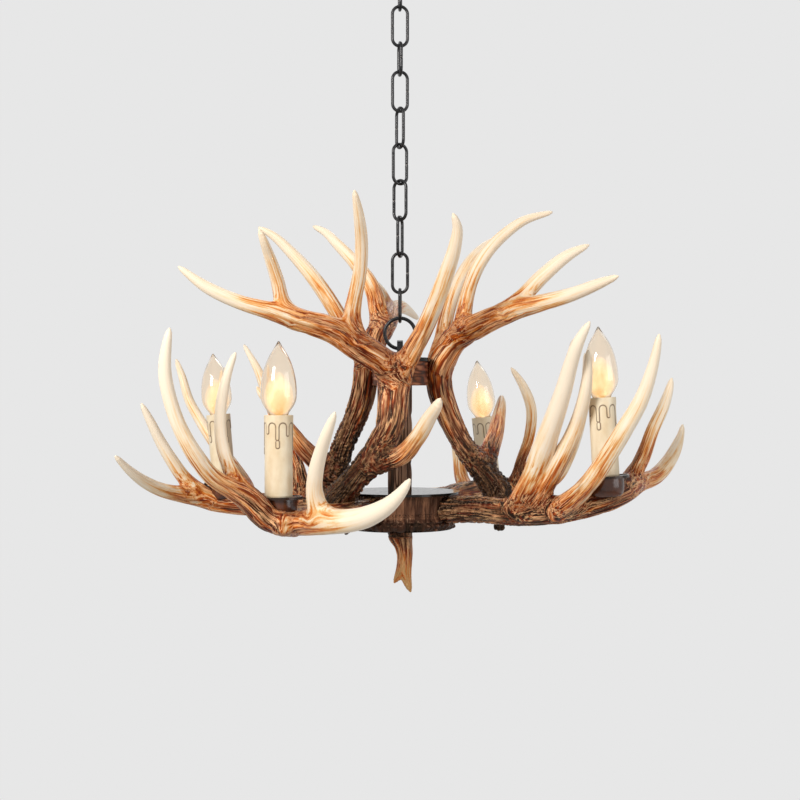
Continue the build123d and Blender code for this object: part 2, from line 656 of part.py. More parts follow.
# Finial: burr cap and a forked tip on the rod's lower end
finial_stem_r = tube_r + finial_stem_wall
finial_middle = finial_top - finial_cap_h / 2
prong_lines = [
    [(1, 2, 12), (3, 12, 10.5), (5, 25, 9.3), (5, 41, 8), (8, 56, 5), (12, 68, 1.5)],
    [(4, 37, 7), (0, 46, 5.5), (-4, 53, 3.6), (-7, 58, 1.5)],
]
prongs = [
    loft_limb([Vector(x, 0, finial_top - down) for x, down, _ in line], [radius for _, _, radius in line])
    for line in prong_lines
]
with BuildPart() as finial:
    add(disc(finial_stem_r, finial_top, finial_gap))
    with Locations((0, 0, finial_middle)):
        Cylinder(finial_cap_r, finial_cap_h)
    fillet(finial.edges().filter_by(GeomType.CIRCLE).group_by(SortBy.RADIUS)[-1], finial_cap_h / 3)
    for prong in prongs:
        add(prong)
    add(disc(tube_r + fit, rod_bottom - fit, hub_bottom - rod_bottom + fit), mode=Mode.SUBTRACT)
save(finial, "finial")

# Candle lamps: pan, cup, lampholder, sleeve, bulb cap and bulb glass on each lower antler
sleeve_top = pan_t + candle_h
holder_top = pan_t + holder_h
socket_bottom = holder_top - cap_h - cap_sink
glass_foot = socket_bottom + cap_tip_h + cap_h
for name, seat in candle_planes.items():
    side_plane = Plane(seat.origin, x_dir=seat.x_dir, z_dir=-seat.y_dir)
    upright = Axis(seat.origin, seat.z_dir)

    with BuildPart() as drip_pan:
        with BuildSketch(side_plane):
            with BuildLine():
                Polyline(
                    (tube_r + fit, 0),
                    (pan_r, 0),
                    (pan_r, pan_t + pan_lip_h),
                    (pan_r - pan_lip_t, pan_t + pan_lip_h),
                    (pan_r - pan_lip_t - pan_lip_h, pan_t),
                    (tube_r + fit, pan_t),
                    close=True,
                )
            make_face()
        revolve(axis=upright)
    save(drip_pan, f"drip_pan_{name}")

    with BuildPart() as candle_cup:
        with BuildSketch(side_plane):
            with BuildLine():
                wall = Line((cup_top_r, 0), (cup_top_r, -cup_h / 4))
                belly = Spline(wall @ 1, (cup_foot_r, -cup_h), tangents=((0, -1), (-1, -0.6)))
                Polyline(belly @ 1, (tube_r + fit, -cup_h), (tube_r + fit, 0), wall @ 0)
            make_face()
        revolve(axis=upright)
        add(lower_made[name], mode=Mode.SUBTRACT)
        add(hub_blank, mode=Mode.SUBTRACT)
    save(candle_cup, f"candle_cup_{name}")

    with BuildPart() as lampholder:
        with BuildSketch(seat.offset(-stem_length)):
            Circle(tube_r)
        extrude(amount=stem_length + pan_t)
        with BuildSketch(seat.offset(pan_t)):
            Circle(candle_r - candle_wall - fit)
        extrude(amount=holder_h)
        with BuildSketch(seat.offset(holder_top)):
            Circle(cap_r + running_fit)
        extrude(amount=socket_bottom - holder_top, mode=Mode.SUBTRACT)
    save(lampholder, f"lampholder_{name}")

    with BuildPart() as candle_sleeve:
        with BuildSketch(seat.offset(pan_t)):
            Circle(candle_r)
            Circle(candle_r - candle_wall, mode=Mode.SUBTRACT)
        extrude(amount=candle_h)
    save(candle_sleeve, f"candle_sleeve_{name}")

    with BuildPart() as bulb_cap:
        with BuildSketch(side_plane):
            with BuildLine():
                Polyline(
                    (0, socket_bottom),
                    (cap_tip_r, socket_bottom),
                    (cap_r, socket_bottom + cap_tip_h),
                    (cap_r, glass_foot),
                    (0, glass_foot),
                    close=True,
                )
            make_face()
        revolve(axis=upright)
    save(bulb_cap, f"bulb_cap_{name}")

    bulb_neck = glass_foot + bulb_h * bulb_neck_share
    bulb_middle = glass_foot + bulb_h * bulb_middle_share
    bulb_shoulder = glass_foot + bulb_h * bulb_shoulder_share
    bulb_top = glass_foot + bulb_h
    with BuildPart() as bulb_glass:
        with BuildSketch(side_plane):
            with BuildLine():
                Spline(
                    (cap_r, glass_foot),
                    (bulb_neck_r, bulb_neck),
                    (bulb_r, bulb_middle),
                    tangents=((0.3, 1), (0, 1)),
                )
                Spline(
                    (bulb_r, bulb_middle),
                    (bulb_shoulder_r, bulb_shoulder),
                    (bulb_wall, bulb_top),
                    tangents=((0, 1), (-0.5, 1)),
                )
                Polyline((bulb_wall, bulb_top), (0, bulb_top), (0, bulb_top - 3 * bulb_wall))
                Spline(
                    (0, bulb_top - 3 * bulb_wall),
                    (bulb_shoulder_r - bulb_wall, bulb_shoulder - bulb_wall),
                    (bulb_r - bulb_wall, bulb_middle),
                    tangents=((0.5, -1), (0, -1)),
                )
                Spline(
                    (bulb_r - bulb_wall, bulb_middle),
                    (bulb_neck_r - bulb_wall, bulb_neck),
                    (cap_r - bulb_wall, glass_foot),
                    tangents=((0, -1), (-0.3, -1)),
                )
                Line((cap_r - bulb_wall, glass_foot), (cap_r, glass_foot))
            make_face()
        revolve(axis=upright)
    save(bulb_glass, f"bulb_glass_{name}")
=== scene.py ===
"""The antler chandelier's looks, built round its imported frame.

Metres, z = 0 at the ceiling, the front towards -Y. The sections go from the ceiling down, as the
lamp hangs, and the stage comes last. Shapes are worked out in millimetres and scaled at the end.
"""

from collections import namedtuple
from functools import partial
from math import cos, hypot, pi, radians, sin

import bpy
import numpy as np
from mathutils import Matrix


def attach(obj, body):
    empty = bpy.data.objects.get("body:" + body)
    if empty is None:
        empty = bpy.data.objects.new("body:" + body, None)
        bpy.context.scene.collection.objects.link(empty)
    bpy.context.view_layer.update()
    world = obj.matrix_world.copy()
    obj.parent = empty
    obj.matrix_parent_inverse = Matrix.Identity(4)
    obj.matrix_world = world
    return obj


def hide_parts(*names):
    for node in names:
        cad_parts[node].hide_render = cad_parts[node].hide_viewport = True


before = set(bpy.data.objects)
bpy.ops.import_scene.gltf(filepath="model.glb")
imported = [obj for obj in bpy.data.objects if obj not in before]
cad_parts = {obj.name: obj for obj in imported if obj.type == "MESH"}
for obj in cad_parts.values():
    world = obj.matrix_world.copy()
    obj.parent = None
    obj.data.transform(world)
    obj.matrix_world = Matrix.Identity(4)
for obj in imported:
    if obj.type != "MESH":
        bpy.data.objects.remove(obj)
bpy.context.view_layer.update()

# The camera stands level with the hanging ring's foot, straight in front of the lamp.
# It sees the picture that the lamp was measured from.
camera = bpy.data.objects.new("camera", bpy.data.cameras.new("camera"))
camera.location = (0, -1.517, -0.51628)
camera.rotation_euler = (pi / 2, 0, 0)
camera.data.lens = 62.37
camera.data.clip_end = 60
bpy.context.scene.collection.objects.link(camera)
bpy.context.scene.camera = camera


# ---------------------------------------------------------------------------------------------
# Ceiling fittings: canopy, strap, terminal block and the loop that carries the chain.
# Spun and bent steel under black enamel, a zinc-plated strap, and a plastic terminal block.
# ---------------------------------------------------------------------------------------------


def new_finish(name, colour, rough, metal=0.0):
    """A material with its shader and output; colour and roughness are the plain starting values."""
    finish = bpy.data.materials.new(name)
    finish.use_nodes = True
    shader = finish.node_tree.nodes["Principled BSDF"]
    shader.inputs["Base Color"].default_value = (*colour, 1)
    shader.inputs["Roughness"].default_value = rough
    shader.inputs["Metallic"].default_value = metal
    return finish, finish.node_tree, shader


def wear_noise(tree, scale, detail, stretch=(1, 1, 1)):
    """Noise in the piece's own space, stretched by making one direction's scale smaller."""
    place = tree.nodes.new("ShaderNodeTexCoord")
    turn = tree.nodes.new("ShaderNodeMapping")
    turn.inputs["Scale"].default_value = stretch
    noise = tree.nodes.new("ShaderNodeTexNoise")
    noise.inputs["Scale"].default_value = scale
    noise.inputs["Detail"].default_value = detail
    tree.links.new(place.outputs["Object"], turn.inputs["Vector"])
    tree.links.new(turn.outputs["Vector"], noise.inputs["Vector"])
    return noise.outputs["Fac"]


def ramp(tree, source, *stops):
    """A colour ramp over a value: each stop is a position and a linear colour."""
    node = tree.nodes.new("ShaderNodeValToRGB")
    while len(node.color_ramp.elements) < len(stops):
        node.color_ramp.elements.new(1)
    for element, (position, colour) in zip(node.color_ramp.elements, stops):
        element.position = position
        element.color = (*colour, 1)
    tree.links.new(source, node.inputs["Fac"])
    return node.outputs["Color"]


def spread(tree, source, low, high):
    """Map a noise value between 0.3 and 0.7 onto low to high."""
    node = tree.nodes.new("ShaderNodeMapRange")
    node.inputs["From Min"].default_value = 0.3
    node.inputs["From Max"].default_value = 0.7
    node.inputs["To Min"].default_value = low
    node.inputs["To Max"].default_value = high
    tree.links.new(source, node.inputs["Value"])
    return node.outputs["Result"]


def bumped(tree, shader, height, strength, distance):
    """Run a height into the shader's normal."""
    node = tree.nodes.new("ShaderNodeBump")
    node.inputs["Strength"].default_value = strength
    node.inputs["Distance"].default_value = distance
    tree.links.new(height, node.inputs["Height"])
    tree.links.new(node.outputs["Normal"], shader.inputs["Normal"])


def mottled(name, dark, light, rough, metal, scale, bump, stretch=(1, 1, 1)):
    """A finish that varies between two colours and two roughnesses, with a fine bump."""
    finish, tree, shader = new_finish(name, light, rough[0], metal)
    broad = wear_noise(tree, scale, 5, stretch)
    fine = wear_noise(tree, scale * 9, 3, stretch)
    colour = ramp(tree, broad, (0.35, dark), (0.68, light))
    tree.links.new(colour, shader.inputs["Base Color"])
    tree.links.new(spread(tree, fine, *rough), shader.inputs["Roughness"])
    bumped(tree, shader, fine, bump, 0.0004)
    return finish


def dress(finish, *nodes):
    """Give CAD nodes a finish through their objects' material slots."""
    for name in nodes:
        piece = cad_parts[name]
        if not piece.material_slots:
            piece.data.materials.append(finish)
        for place in piece.material_slots:
            place.link = "OBJECT"
            place.material = finish


black_steel = mottled(
    "black_steel", (0.008, 0.008, 0.009), (0.024, 0.023, 0.024), (0.16, 0.38), 0.35, 180, 0.25
)
zinc_steel = mottled("zinc_steel", (0.34, 0.35, 0.37), (0.56, 0.57, 0.58), (0.28, 0.5), 1, 140, 0.3)
terminal_plastic = mottled(
    "terminal_plastic", (0.6, 0.59, 0.55), (0.72, 0.71, 0.67), (0.35, 0.5), 0, 200, 0.15
)
dress(black_steel, "canopy", "canopy_loop")
dress(zinc_steel, "ceiling_bracket")
dress(terminal_plastic, "terminal_block")


# ---------------------------------------------------------------------------------------------
# Chain: ten links of round wire, bent to ovals and butted at the middle of one side.
# The seam shows as a shallow neck with a thin dark line, under the same black enamel.
# ---------------------------------------------------------------------------------------------


def linked(name, shape):
    """A mesh, made smooth and put into the scene as an object."""
    shape.polygons.foreach_set("use_smooth", np.ones(len(shape.polygons), bool))
    shape.update()
    piece = bpy.data.objects.new(name, shape)
    bpy.context.scene.collection.objects.link(piece)
    return piece


def skin(name, points, faces, finish):
    """A smooth mesh object from points in millimetres and faces of point numbers."""
    shape = bpy.data.meshes.new(name)
    shape.from_pydata((np.asarray(points) / 1000).tolist(), [], [list(face) for face in faces])
    shape.materials.append(finish)
    return linked(name, shape)


def grid_faces(rows, columns, closed_rows, closed_columns):
    """Four-sided faces of a grid of points, numbered row by row, joined round where it closes."""
    row = np.arange(rows if closed_rows else rows - 1)[:, None]
    column = np.arange(columns if closed_columns else columns - 1)[None, :]
    next_row, next_column = (row + 1) % rows, (column + 1) % columns
    corners = (
        row * columns + column,
        row * columns + next_column,
        next_row * columns + next_column,
        next_row * columns + column,
    )
    return np.stack([np.broadcast_to(c, (row.size, column.size)).ravel() for c in corners], 1)


def mark(piece, name, values):
    """Keep one number, or three, for each point of a piece."""
    kind, field = ("FLOAT", "value") if np.ndim(values) == 1 else ("FLOAT_VECTOR", "vector")
    layer = piece.data.attributes.new(name, kind, "POINT")
    layer.data.foreach_set(field, np.asarray(values, np.float32).ravel())


def kept(tree, name, output="Fac"):
    """The shader's way to what mark kept under a name."""
    node = tree.nodes.new("ShaderNodeAttribute")
    node.attribute_name = name
    return node.outputs[output]


def mixed(tree, share, colour, other, blend="MIX"):
    """A colour with another, fixed one mixed in by a share."""
    node = tree.nodes.new("ShaderNodeMix")
    node.data_type = "RGBA"
    node.blend_type = blend
    node.inputs["B"].default_value = (*other, 1)
    tree.links.new(share, node.inputs["Factor"])
    tree.links.new(colour, node.inputs["A"])
    return node.outputs["Result"]


def whole_turn(steps):
    """Evenly spaced angles round a full turn, in radians."""
    return np.arange(steps) / steps * 2 * pi


def nearest_way(off, lap):
    """An offset along a closed line, taken the shorter way round."""
    return (off + lap / 2) % lap - lap / 2


wire_r = 1.8
wire_around, wire_along = 20, 200
crown_r = 8.25
long_half = 21.7
short_half = 17.7
link_halves = [long_half] * 2 + [short_half] + [long_half] * 6 + [short_half]
link_yaws = [-85, 5, -80, 10, -63, 28, -37, 73, 0, 88]
seam_sides = [1, -1, 1, 1, -1, 1, -1, -1, 1, 1]

chain_enamel, tree, shader = new_finish("chain_enamel", (0.012, 0.012, 0.013), 0.25, 0.35)
worn = wear_noise(tree, 210, 5)
tint = ramp(tree, worn, (0.36, (0.006, 0.006, 0.007)), (0.66, (0.026, 0.025, 0.026)))
tint = mixed(tree, kept(tree, "seam"), tint, (0.09, 0.075, 0.065))
tree.links.new(tint, shader.inputs["Base Color"])
tree.links.new(spread(tree, worn, 0.14, 0.36), shader.inputs["Roughness"])
bumped(tree, shader, worn, 0.3, 0.0005)


def link_points(half, middle, yaw, seam_side):
    """A round section carried round an oval: two straights joined by half circles.

    With s the length run from the seam, the wire's radius is its own less a narrow neck,
    exp(-(s / 0.9 mm)^2), a faint swell on both sides of it, and a slow hammered ripple. Gives the
    points, and for each how much of the seam's dark line it has.
    """
    straight = half - crown_r
    lap = 4 * straight + 2 * pi * crown_r
    s = np.arange(wire_along) / wire_along * lap
    turn = np.clip((s - straight) / crown_r, 0, pi) + np.clip(
        (s - 3 * straight - pi * crown_r) / crown_r, 0, pi
    )
    x = crown_r * np.cos(turn)
    rise = np.minimum(s, straight) - np.clip(s - straight - pi * crown_r, 0, 2 * straight)
    rise = rise + np.clip(s - 3 * straight - 2 * pi * crown_r, 0, straight)
    z = rise + crown_r * np.sin(turn)
    off = nearest_way(s, lap)
    neck = np.exp(-((off / 0.9) ** 2))
    swell = np.exp(-((off / 3.2) ** 2))
    ripple = 1 + np.sin(s / lap * 14 * pi)
    radius = wire_r * (0.985 - 0.13 * neck + 0.015 * swell - 0.012 * ripple)
    phi = whole_turn(wire_around)
    out = x[:, None] + radius[:, None] * np.cos(phi) * np.cos(turn)[:, None]
    up = z[:, None] + radius[:, None] * np.cos(phi) * np.sin(turn)[:, None]
    deep = radius[:, None] * np.sin(phi)
    across = np.array([cos(radians(yaw)), sin(radians(yaw)), 0])
    depth = np.array([sin(radians(yaw)), -cos(radians(yaw)), 0])
    points = (seam_side * out)[..., None] * across + (seam_side * deep)[..., None] * depth
    points = points + up[..., None] * np.array([0, 0, 1]) + np.array([0, 0, middle])
    line = np.exp(-((off / 0.35) ** 2))
    return points.reshape(-1, 3), np.repeat(line, wire_around)


# The first link hangs on the canopy's loop, whose wire is thicker.
wire_joint = 0.1
crown_z = -50.0
wire_above = 2.2
wire_faces = grid_faces(wire_along, wire_around, True, True)
for count, (half, yaw, seam_side) in enumerate(zip(link_halves, link_yaws, seam_sides)):
    middle = crown_z + wire_above + wire_r + wire_joint - half
    crown_z = middle - half
    wire_above = wire_r
    number = f"{10 - count:02d}"
    points, line = link_points(half, middle, yaw, seam_side)
    link = skin(f"link_{number}_wire", points, wire_faces, chain_enamel)
    mark(link, "seam", line)
    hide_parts(f"chain_link_{number}")
    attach(link, f"link_{number}")


# ---------------------------------------------------------------------------------------------
# Hanging ring, lifting eye, plate and bush: turned and welded steel, enamelled gloss black,
# with a rubber bush where the supply lead goes down. The CAD shapes are the finished ones.
# ---------------------------------------------------------------------------------------------
gloss_black = mottled(
    "gloss_black", (0.006, 0.005, 0.004), (0.014, 0.011, 0.009), (0.1, 0.2), 0, 30, 0.03
)
gloss_black.node_tree.nodes["Principled BSDF"].inputs["Specular IOR Level"].default_value = 0.25
rubber = mottled("rubber", (0.018, 0.018, 0.018), (0.04, 0.04, 0.04), (0.62, 0.8), 0, 300, 0.4)
dress(black_steel, "hanging_ring", "lifting_eye")
dress(gloss_black, "upper_plate", "hub_plate")
dress(rubber, "cable_bush")
dress(zinc_steel, "centre_rod", "lock_nut", "upper_bolts", "hub_bolts", "foot_studs")


# ---------------------------------------------------------------------------------------------
# Antlers: seven castings in resin from natural moulds. A steel-bolted beam runs from the hub and
# forks into tines. Brown stain sits in the grooves, is wiped off the ridges, and fades to ivory
# at the tips. Each limb below is a line of (out, side, up, radius) and the tones along it,
# from 0 ivory to 1 black-brown.
# ---------------------------------------------------------------------------------------------


def lattice(points, seed):
    """Smooth noise: a fixed random number at each whole point, blended between the eight that
    stand round a place with the weight 3t^2 - 2t^3."""
    cell = np.floor(points).astype(np.int64)
    part = points - cell
    part = part * part * (3 - 2 * part)
    total = np.zeros(len(points))
    for corner in np.ndindex(2, 2, 2):
        at = cell + corner
        code = at[:, 0] * 73856093 ^ at[:, 1] * 19349663 ^ at[:, 2] * 83492791
        code = code ^ seed * 2654435
        code = (code ^ (code >> 13)) * 1274126177 & 0x7FFFFFFF
        code = (code ^ (code >> 16)) * 668265263 & 0x7FFFFFFF
        weight = np.prod(np.where(corner, part, 1 - part), axis=1)
        total += weight * (code & 0xFFFF) / 65535
    return total


def folded(noise):
    """Noise folded at its middle, so that it reaches 1 along winding lines."""
    return 1 - np.abs(2 * noise - 1)


def above(value, start):
    """How far a value has come on the way from start to 1, as a share."""
    return np.clip((value - start) / (1 - start), 0, 1)


# Along a limb: how far apart its sections are and how many steps it has at least. On a sharp tine:
# the least radius that it keeps, the length over which its end then rounds off, the radius left
# there, and by how many of those radii the line stops short to leave room for the round nose.
limb_step = 4.0
fewest_steps = 8
blunt_r = 2.5
tip_run = 8
tip_r = 1.5
tip_short = 1.4


def limb_line(points):
    """A smooth line through given points of (x, y, z, radius).

    Between two points runs the cubic that leaves and arrives with the slopes at them, where a
    slope is the curve's own difference over the chord length. A sharp end rounds off like an
    ellipse. Gives places along the line, the radius and the length run at each, and two directions
    square to the line.
    """
    points = np.array(points, float)
    chords = np.linalg.norm(np.diff(points[:, :3], axis=0), axis=1)
    knots = np.concatenate([[0], np.cumsum(chords)])
    tip = tip_r if points[-1, 3] < blunt_r else 0
    points[-1, 3] = max(points[-1, 3], blunt_r)
    slopes = np.gradient(points, knots, axis=0)
    steps = max(int(knots[-1] / limb_step), fewest_steps)
    run = np.linspace(0, knots[-1] - tip_short * tip, steps + 1)
    i = np.clip(np.searchsorted(knots, run, side="right") - 1, 0, len(knots) - 2)
    gap = (knots[i + 1] - knots[i])[:, None]
    t = ((run - knots[i])[:, None]) / gap
    line = (
        (2 * t**3 - 3 * t**2 + 1) * points[i]
        + (t**3 - 2 * t**2 + t) * gap * slopes[i]
        + (3 * t**2 - 2 * t**3) * points[i + 1]
        + (t**3 - t**2) * gap * slopes[i + 1]
    )
    centre, radius = line[:, :3], np.maximum(line[:, 3], blunt_r)
    if tip:
        left = np.clip((run[-1] - run) / tip_run, 0, 1)
        radius = tip + (radius - tip) * np.sqrt(left * (2 - left))
    ahead = np.gradient(centre, axis=0)
    ahead /= np.linalg.norm(ahead, axis=1)[:, None]
    flat = np.linalg.svd(centre - centre.mean(0))[2][2]
    first = flat - (ahead @ flat)[:, None] * ahead
    first /= np.linalg.norm(first, axis=1)[:, None]
    return centre, radius, run, first, np.cross(ahead, first)


def limb_tube(line, around=20):
    """A round section carried along a limb: flat where the limb starts, with rings at t = 30, 55
    and 75 degrees of a half ball, radius r cos(t) and r sin(t) ahead, where it ends."""
    centre, radius, _, first, second = line
    nose = (centre[-1] - centre[-2]) / np.linalg.norm(centre[-1] - centre[-2])
    t = np.radians([[30], [55], [75]])
    top = centre[-1:] + nose * radius[-1]
    centre = np.concatenate([centre, centre[-1] + nose * radius[-1] * np.sin(t)])
    radius = np.concatenate([radius, radius[-1] * np.cos(t)[:, 0]])
    first, second = (
        np.concatenate([side, np.repeat(side[-1:], len(t), 0)]) for side in (first, second)
    )
    phi = whole_turn(around)[None, :, None]
    rim = np.cos(phi) * first[:, None] + np.sin(phi) * second[:, None]
    rings = centre[:, None] + radius[:, None, None] * rim
    points = np.concatenate([rings.reshape(-1, 3), centre[:1], top])
    count = len(centre) * around
    walls = grid_faces(len(centre), around, False, True)
    near, far = np.arange(around), np.arange(around) + count - around
    caps = [[count, (k + 1) % around, k] for k in near]
    caps += [[count + 1, k, count - around + (k + 1 - count) % around] for k in far]
    return points, walls.tolist() + caps


def gathered(shells):
    """Several (points, faces) as one."""
    points, faces, count = [], [], 0
    for shell, shell_faces in shells:
        points.append(shell)
        faces += [[k + count for k in face] for face in shell_faces]
        count += len(shell)
    return np.concatenate(points), faces


# Where points lie against one limb: how far off its skin, the direction away from its line, the
# same across the line as two numbers, the length run along it, and how far past its ends.
Near = namedtuple("Near", "off away turned along past")


def from_limb(points, line):
    """Where points lie against a limb. The nearest of its short straight pieces is found,
    counting the radius there as part of the limb."""
    centre, radius, run, first, second = line
    start, span = centre[:-1], np.diff(centre, axis=0)
    length2 = (span**2).sum(1)
    ahead = points @ span.T - (start * span).sum(1)
    t = np.clip(ahead / length2, 0, 1)
    apart2 = (points**2).sum(1)[:, None] - 2 * points @ start.T + (start**2).sum(1)
    apart2 = apart2 - 2 * t * ahead + t**2 * length2
    off = np.sqrt(np.maximum(apart2, 1e-9)) - radius[:-1] - t * np.diff(radius)
    best = off.argmin(1)
    rows = np.arange(len(points))
    t = t[rows, best][:, None]
    away = points - (start[best] + t * span[best])
    away /= np.maximum(np.linalg.norm(away, axis=1), 1e-9)[:, None]
    turned = np.stack([(away * first[best]).sum(1), (away * second[best]).sum(1)], 1)
    along = run[best] + t[:, 0] * np.diff(run)[best]
    past = np.zeros(len(points))
    for end, inner in ((centre[0], centre[1]), (centre[-1], centre[-2])):
        outward = end - inner
        past += np.maximum((points - end) @ outward / np.linalg.norm(outward), 0)
    return Near(off[rows, best], away, turned, along, past)


def melted(points, lines, softness):
    """Limbs run together: the field is -k ln of the sum of exp(-d / k) over the limbs'
    distances d, which fills the forks between them. Gives the field, its slope, and where the
    points lie against each limb."""
    near = [from_limb(points, line) for line in lines]
    off = np.stack([limb.off for limb in near], 1)
    least = off.min(1, keepdims=True)
    share = np.exp(-(off - least) / softness)
    total = share.sum(1, keepdims=True)
    share /= total
    field = (least - softness * np.log(total))[:, 0]
    slope = sum(share[:, k : k + 1] * limb.away for k, limb in enumerate(near))
    return field, slope, near


# The bark's map has the angle round a limb times map_r, and the limbs follow each other on it at
# limb_shift. Then the spacing of grooves across and along, the width of a pebble, and how deep
# grooves, waves and pebbles go.
map_r = 12
limb_shift = 60
groove_wide, groove_long = 3.8, 52
pebble_wide = 3.6
groove_deep, wave_deep, pebble_deep = 1.8, 0.8, 2.0


def cast_antler(name, limbs, finish, voxel=1.15, softness=2.4, relief=1.0, seed=1):
    """One casting from its limbs.

    The limbs' tubes are joined into one skin, which is drawn onto the field of the melted limbs.
    Then the surface sinks along its slope by grooves, waves and pebbles. Grooves and waves are
    noise over each limb's own map of (angle round it, length run), so that they follow the limb
    and narrow towards its tip. Where limbs meet, the values are blended and not the maps, which
    would swirl. Tone decides how rugged the surface is, and the darkest feet are knobbed.
    """
    lines = [limb_line(points) for points, _ in limbs]
    worker = skin(name + "_rough", *gathered([limb_tube(line) for line in lines]), finish)
    joined = worker.modifiers.new("joined", "REMESH")
    joined.mode = "VOXEL"
    joined.voxel_size = voxel / 1000
    eased = worker.modifiers.new("eased", "SMOOTH")
    eased.iterations = 4
    evaluated = worker.evaluated_get(bpy.context.evaluated_depsgraph_get())
    shape = bpy.data.meshes.new_from_object(evaluated)
    bpy.data.objects.remove(worker)
    shape.name = name
    place = np.zeros(len(shape.vertices) * 3)
    shape.vertices.foreach_get("co", place)
    place = place.reshape(-1, 3) * 1000
    for _ in range(3):
        field, slope, near = melted(place, lines, softness)
        pull = field / np.maximum((slope**2).sum(1), 0.3)
        place -= np.clip(pull, -1.5, 1.5)[:, None] * slope
    _, slope, near = melted(place, lines, softness)

    off = np.stack([limb.off + 2.5 * limb.past for limb in near], 1)
    share = np.exp(-(off - off.min(1, keepdims=True)) / (1.8 * softness))
    share[share < 0.04] = 0
    share /= share.sum(1, keepdims=True)
    tone, groove, wave = np.zeros((3, len(place)))
    grain = np.zeros((len(place), 3))
    for k, (line, (_, tones), limb) in enumerate(zip(lines, limbs, near)):
        here = share[:, k] > 0
        part, along, length = share[here, k], limb.along[here], line[2][-1]
        tone[here] += part * np.interp(along / length, np.linspace(0, 1, len(tones)), tones)
        own = np.column_stack([limb.turned[here] * map_r, along + limb_shift * k])
        grain[here] += part[:, None] * own
        own = own * (1 / groove_wide, 1 / groove_wide, 1 / groove_long) + seed
        fine = np.maximum(folded(lattice(own, seed)), folded(lattice(own * 0.53 + 9, seed + 5)))
        groove[here] += part * above(fine, 0.72) ** 1.4
        wave[here] += part * lattice(own * 0.47, seed + 11)
    pebble = above(folded(lattice(place / pebble_wide, seed + 3)), 0.5)
    rugged = np.clip((tone - 0.12) * 1.7, 0, 1)
    knobbed = np.clip((tone - 0.78) / 0.16, 0, 1)
    sink = rugged * (groove_deep * groove * (1 - 0.5 * knobbed) + wave_deep * wave)
    sink += pebble_deep * knobbed * pebble
    place -= (relief * sink)[:, None] * slope

    shape.vertices.foreach_set("co", (place / 1000).ravel())
    shape.materials.clear()
    shape.materials.append(finish)
    piece = linked(name, shape)
    mark(piece, "tone", tone)
    mark(piece, "grain", grain)
    mark(piece, "groove", np.clip(groove * rugged + 0.8 * knobbed * pebble, 0, 1))
    return piece


def maths(tree, kind, *values):
    """The outcome of a Math node over sockets and plain numbers."""
    node = tree.nodes.new("ShaderNodeMath")
    node.operation = kind
    for socket, value in zip(node.inputs, values):
        if isinstance(value, (int, float)):
            socket.default_value = value
        else:
            tree.links.new(value, socket)
    return node.outputs[0]


def warm_gloss(shader):
    """Faint highlights that take the stain's warmth."""
    shader.inputs["Specular Tint"].default_value = (1, 0.62, 0.4, 1)
    shader.inputs["Specular IOR Level"].default_value = 0.36


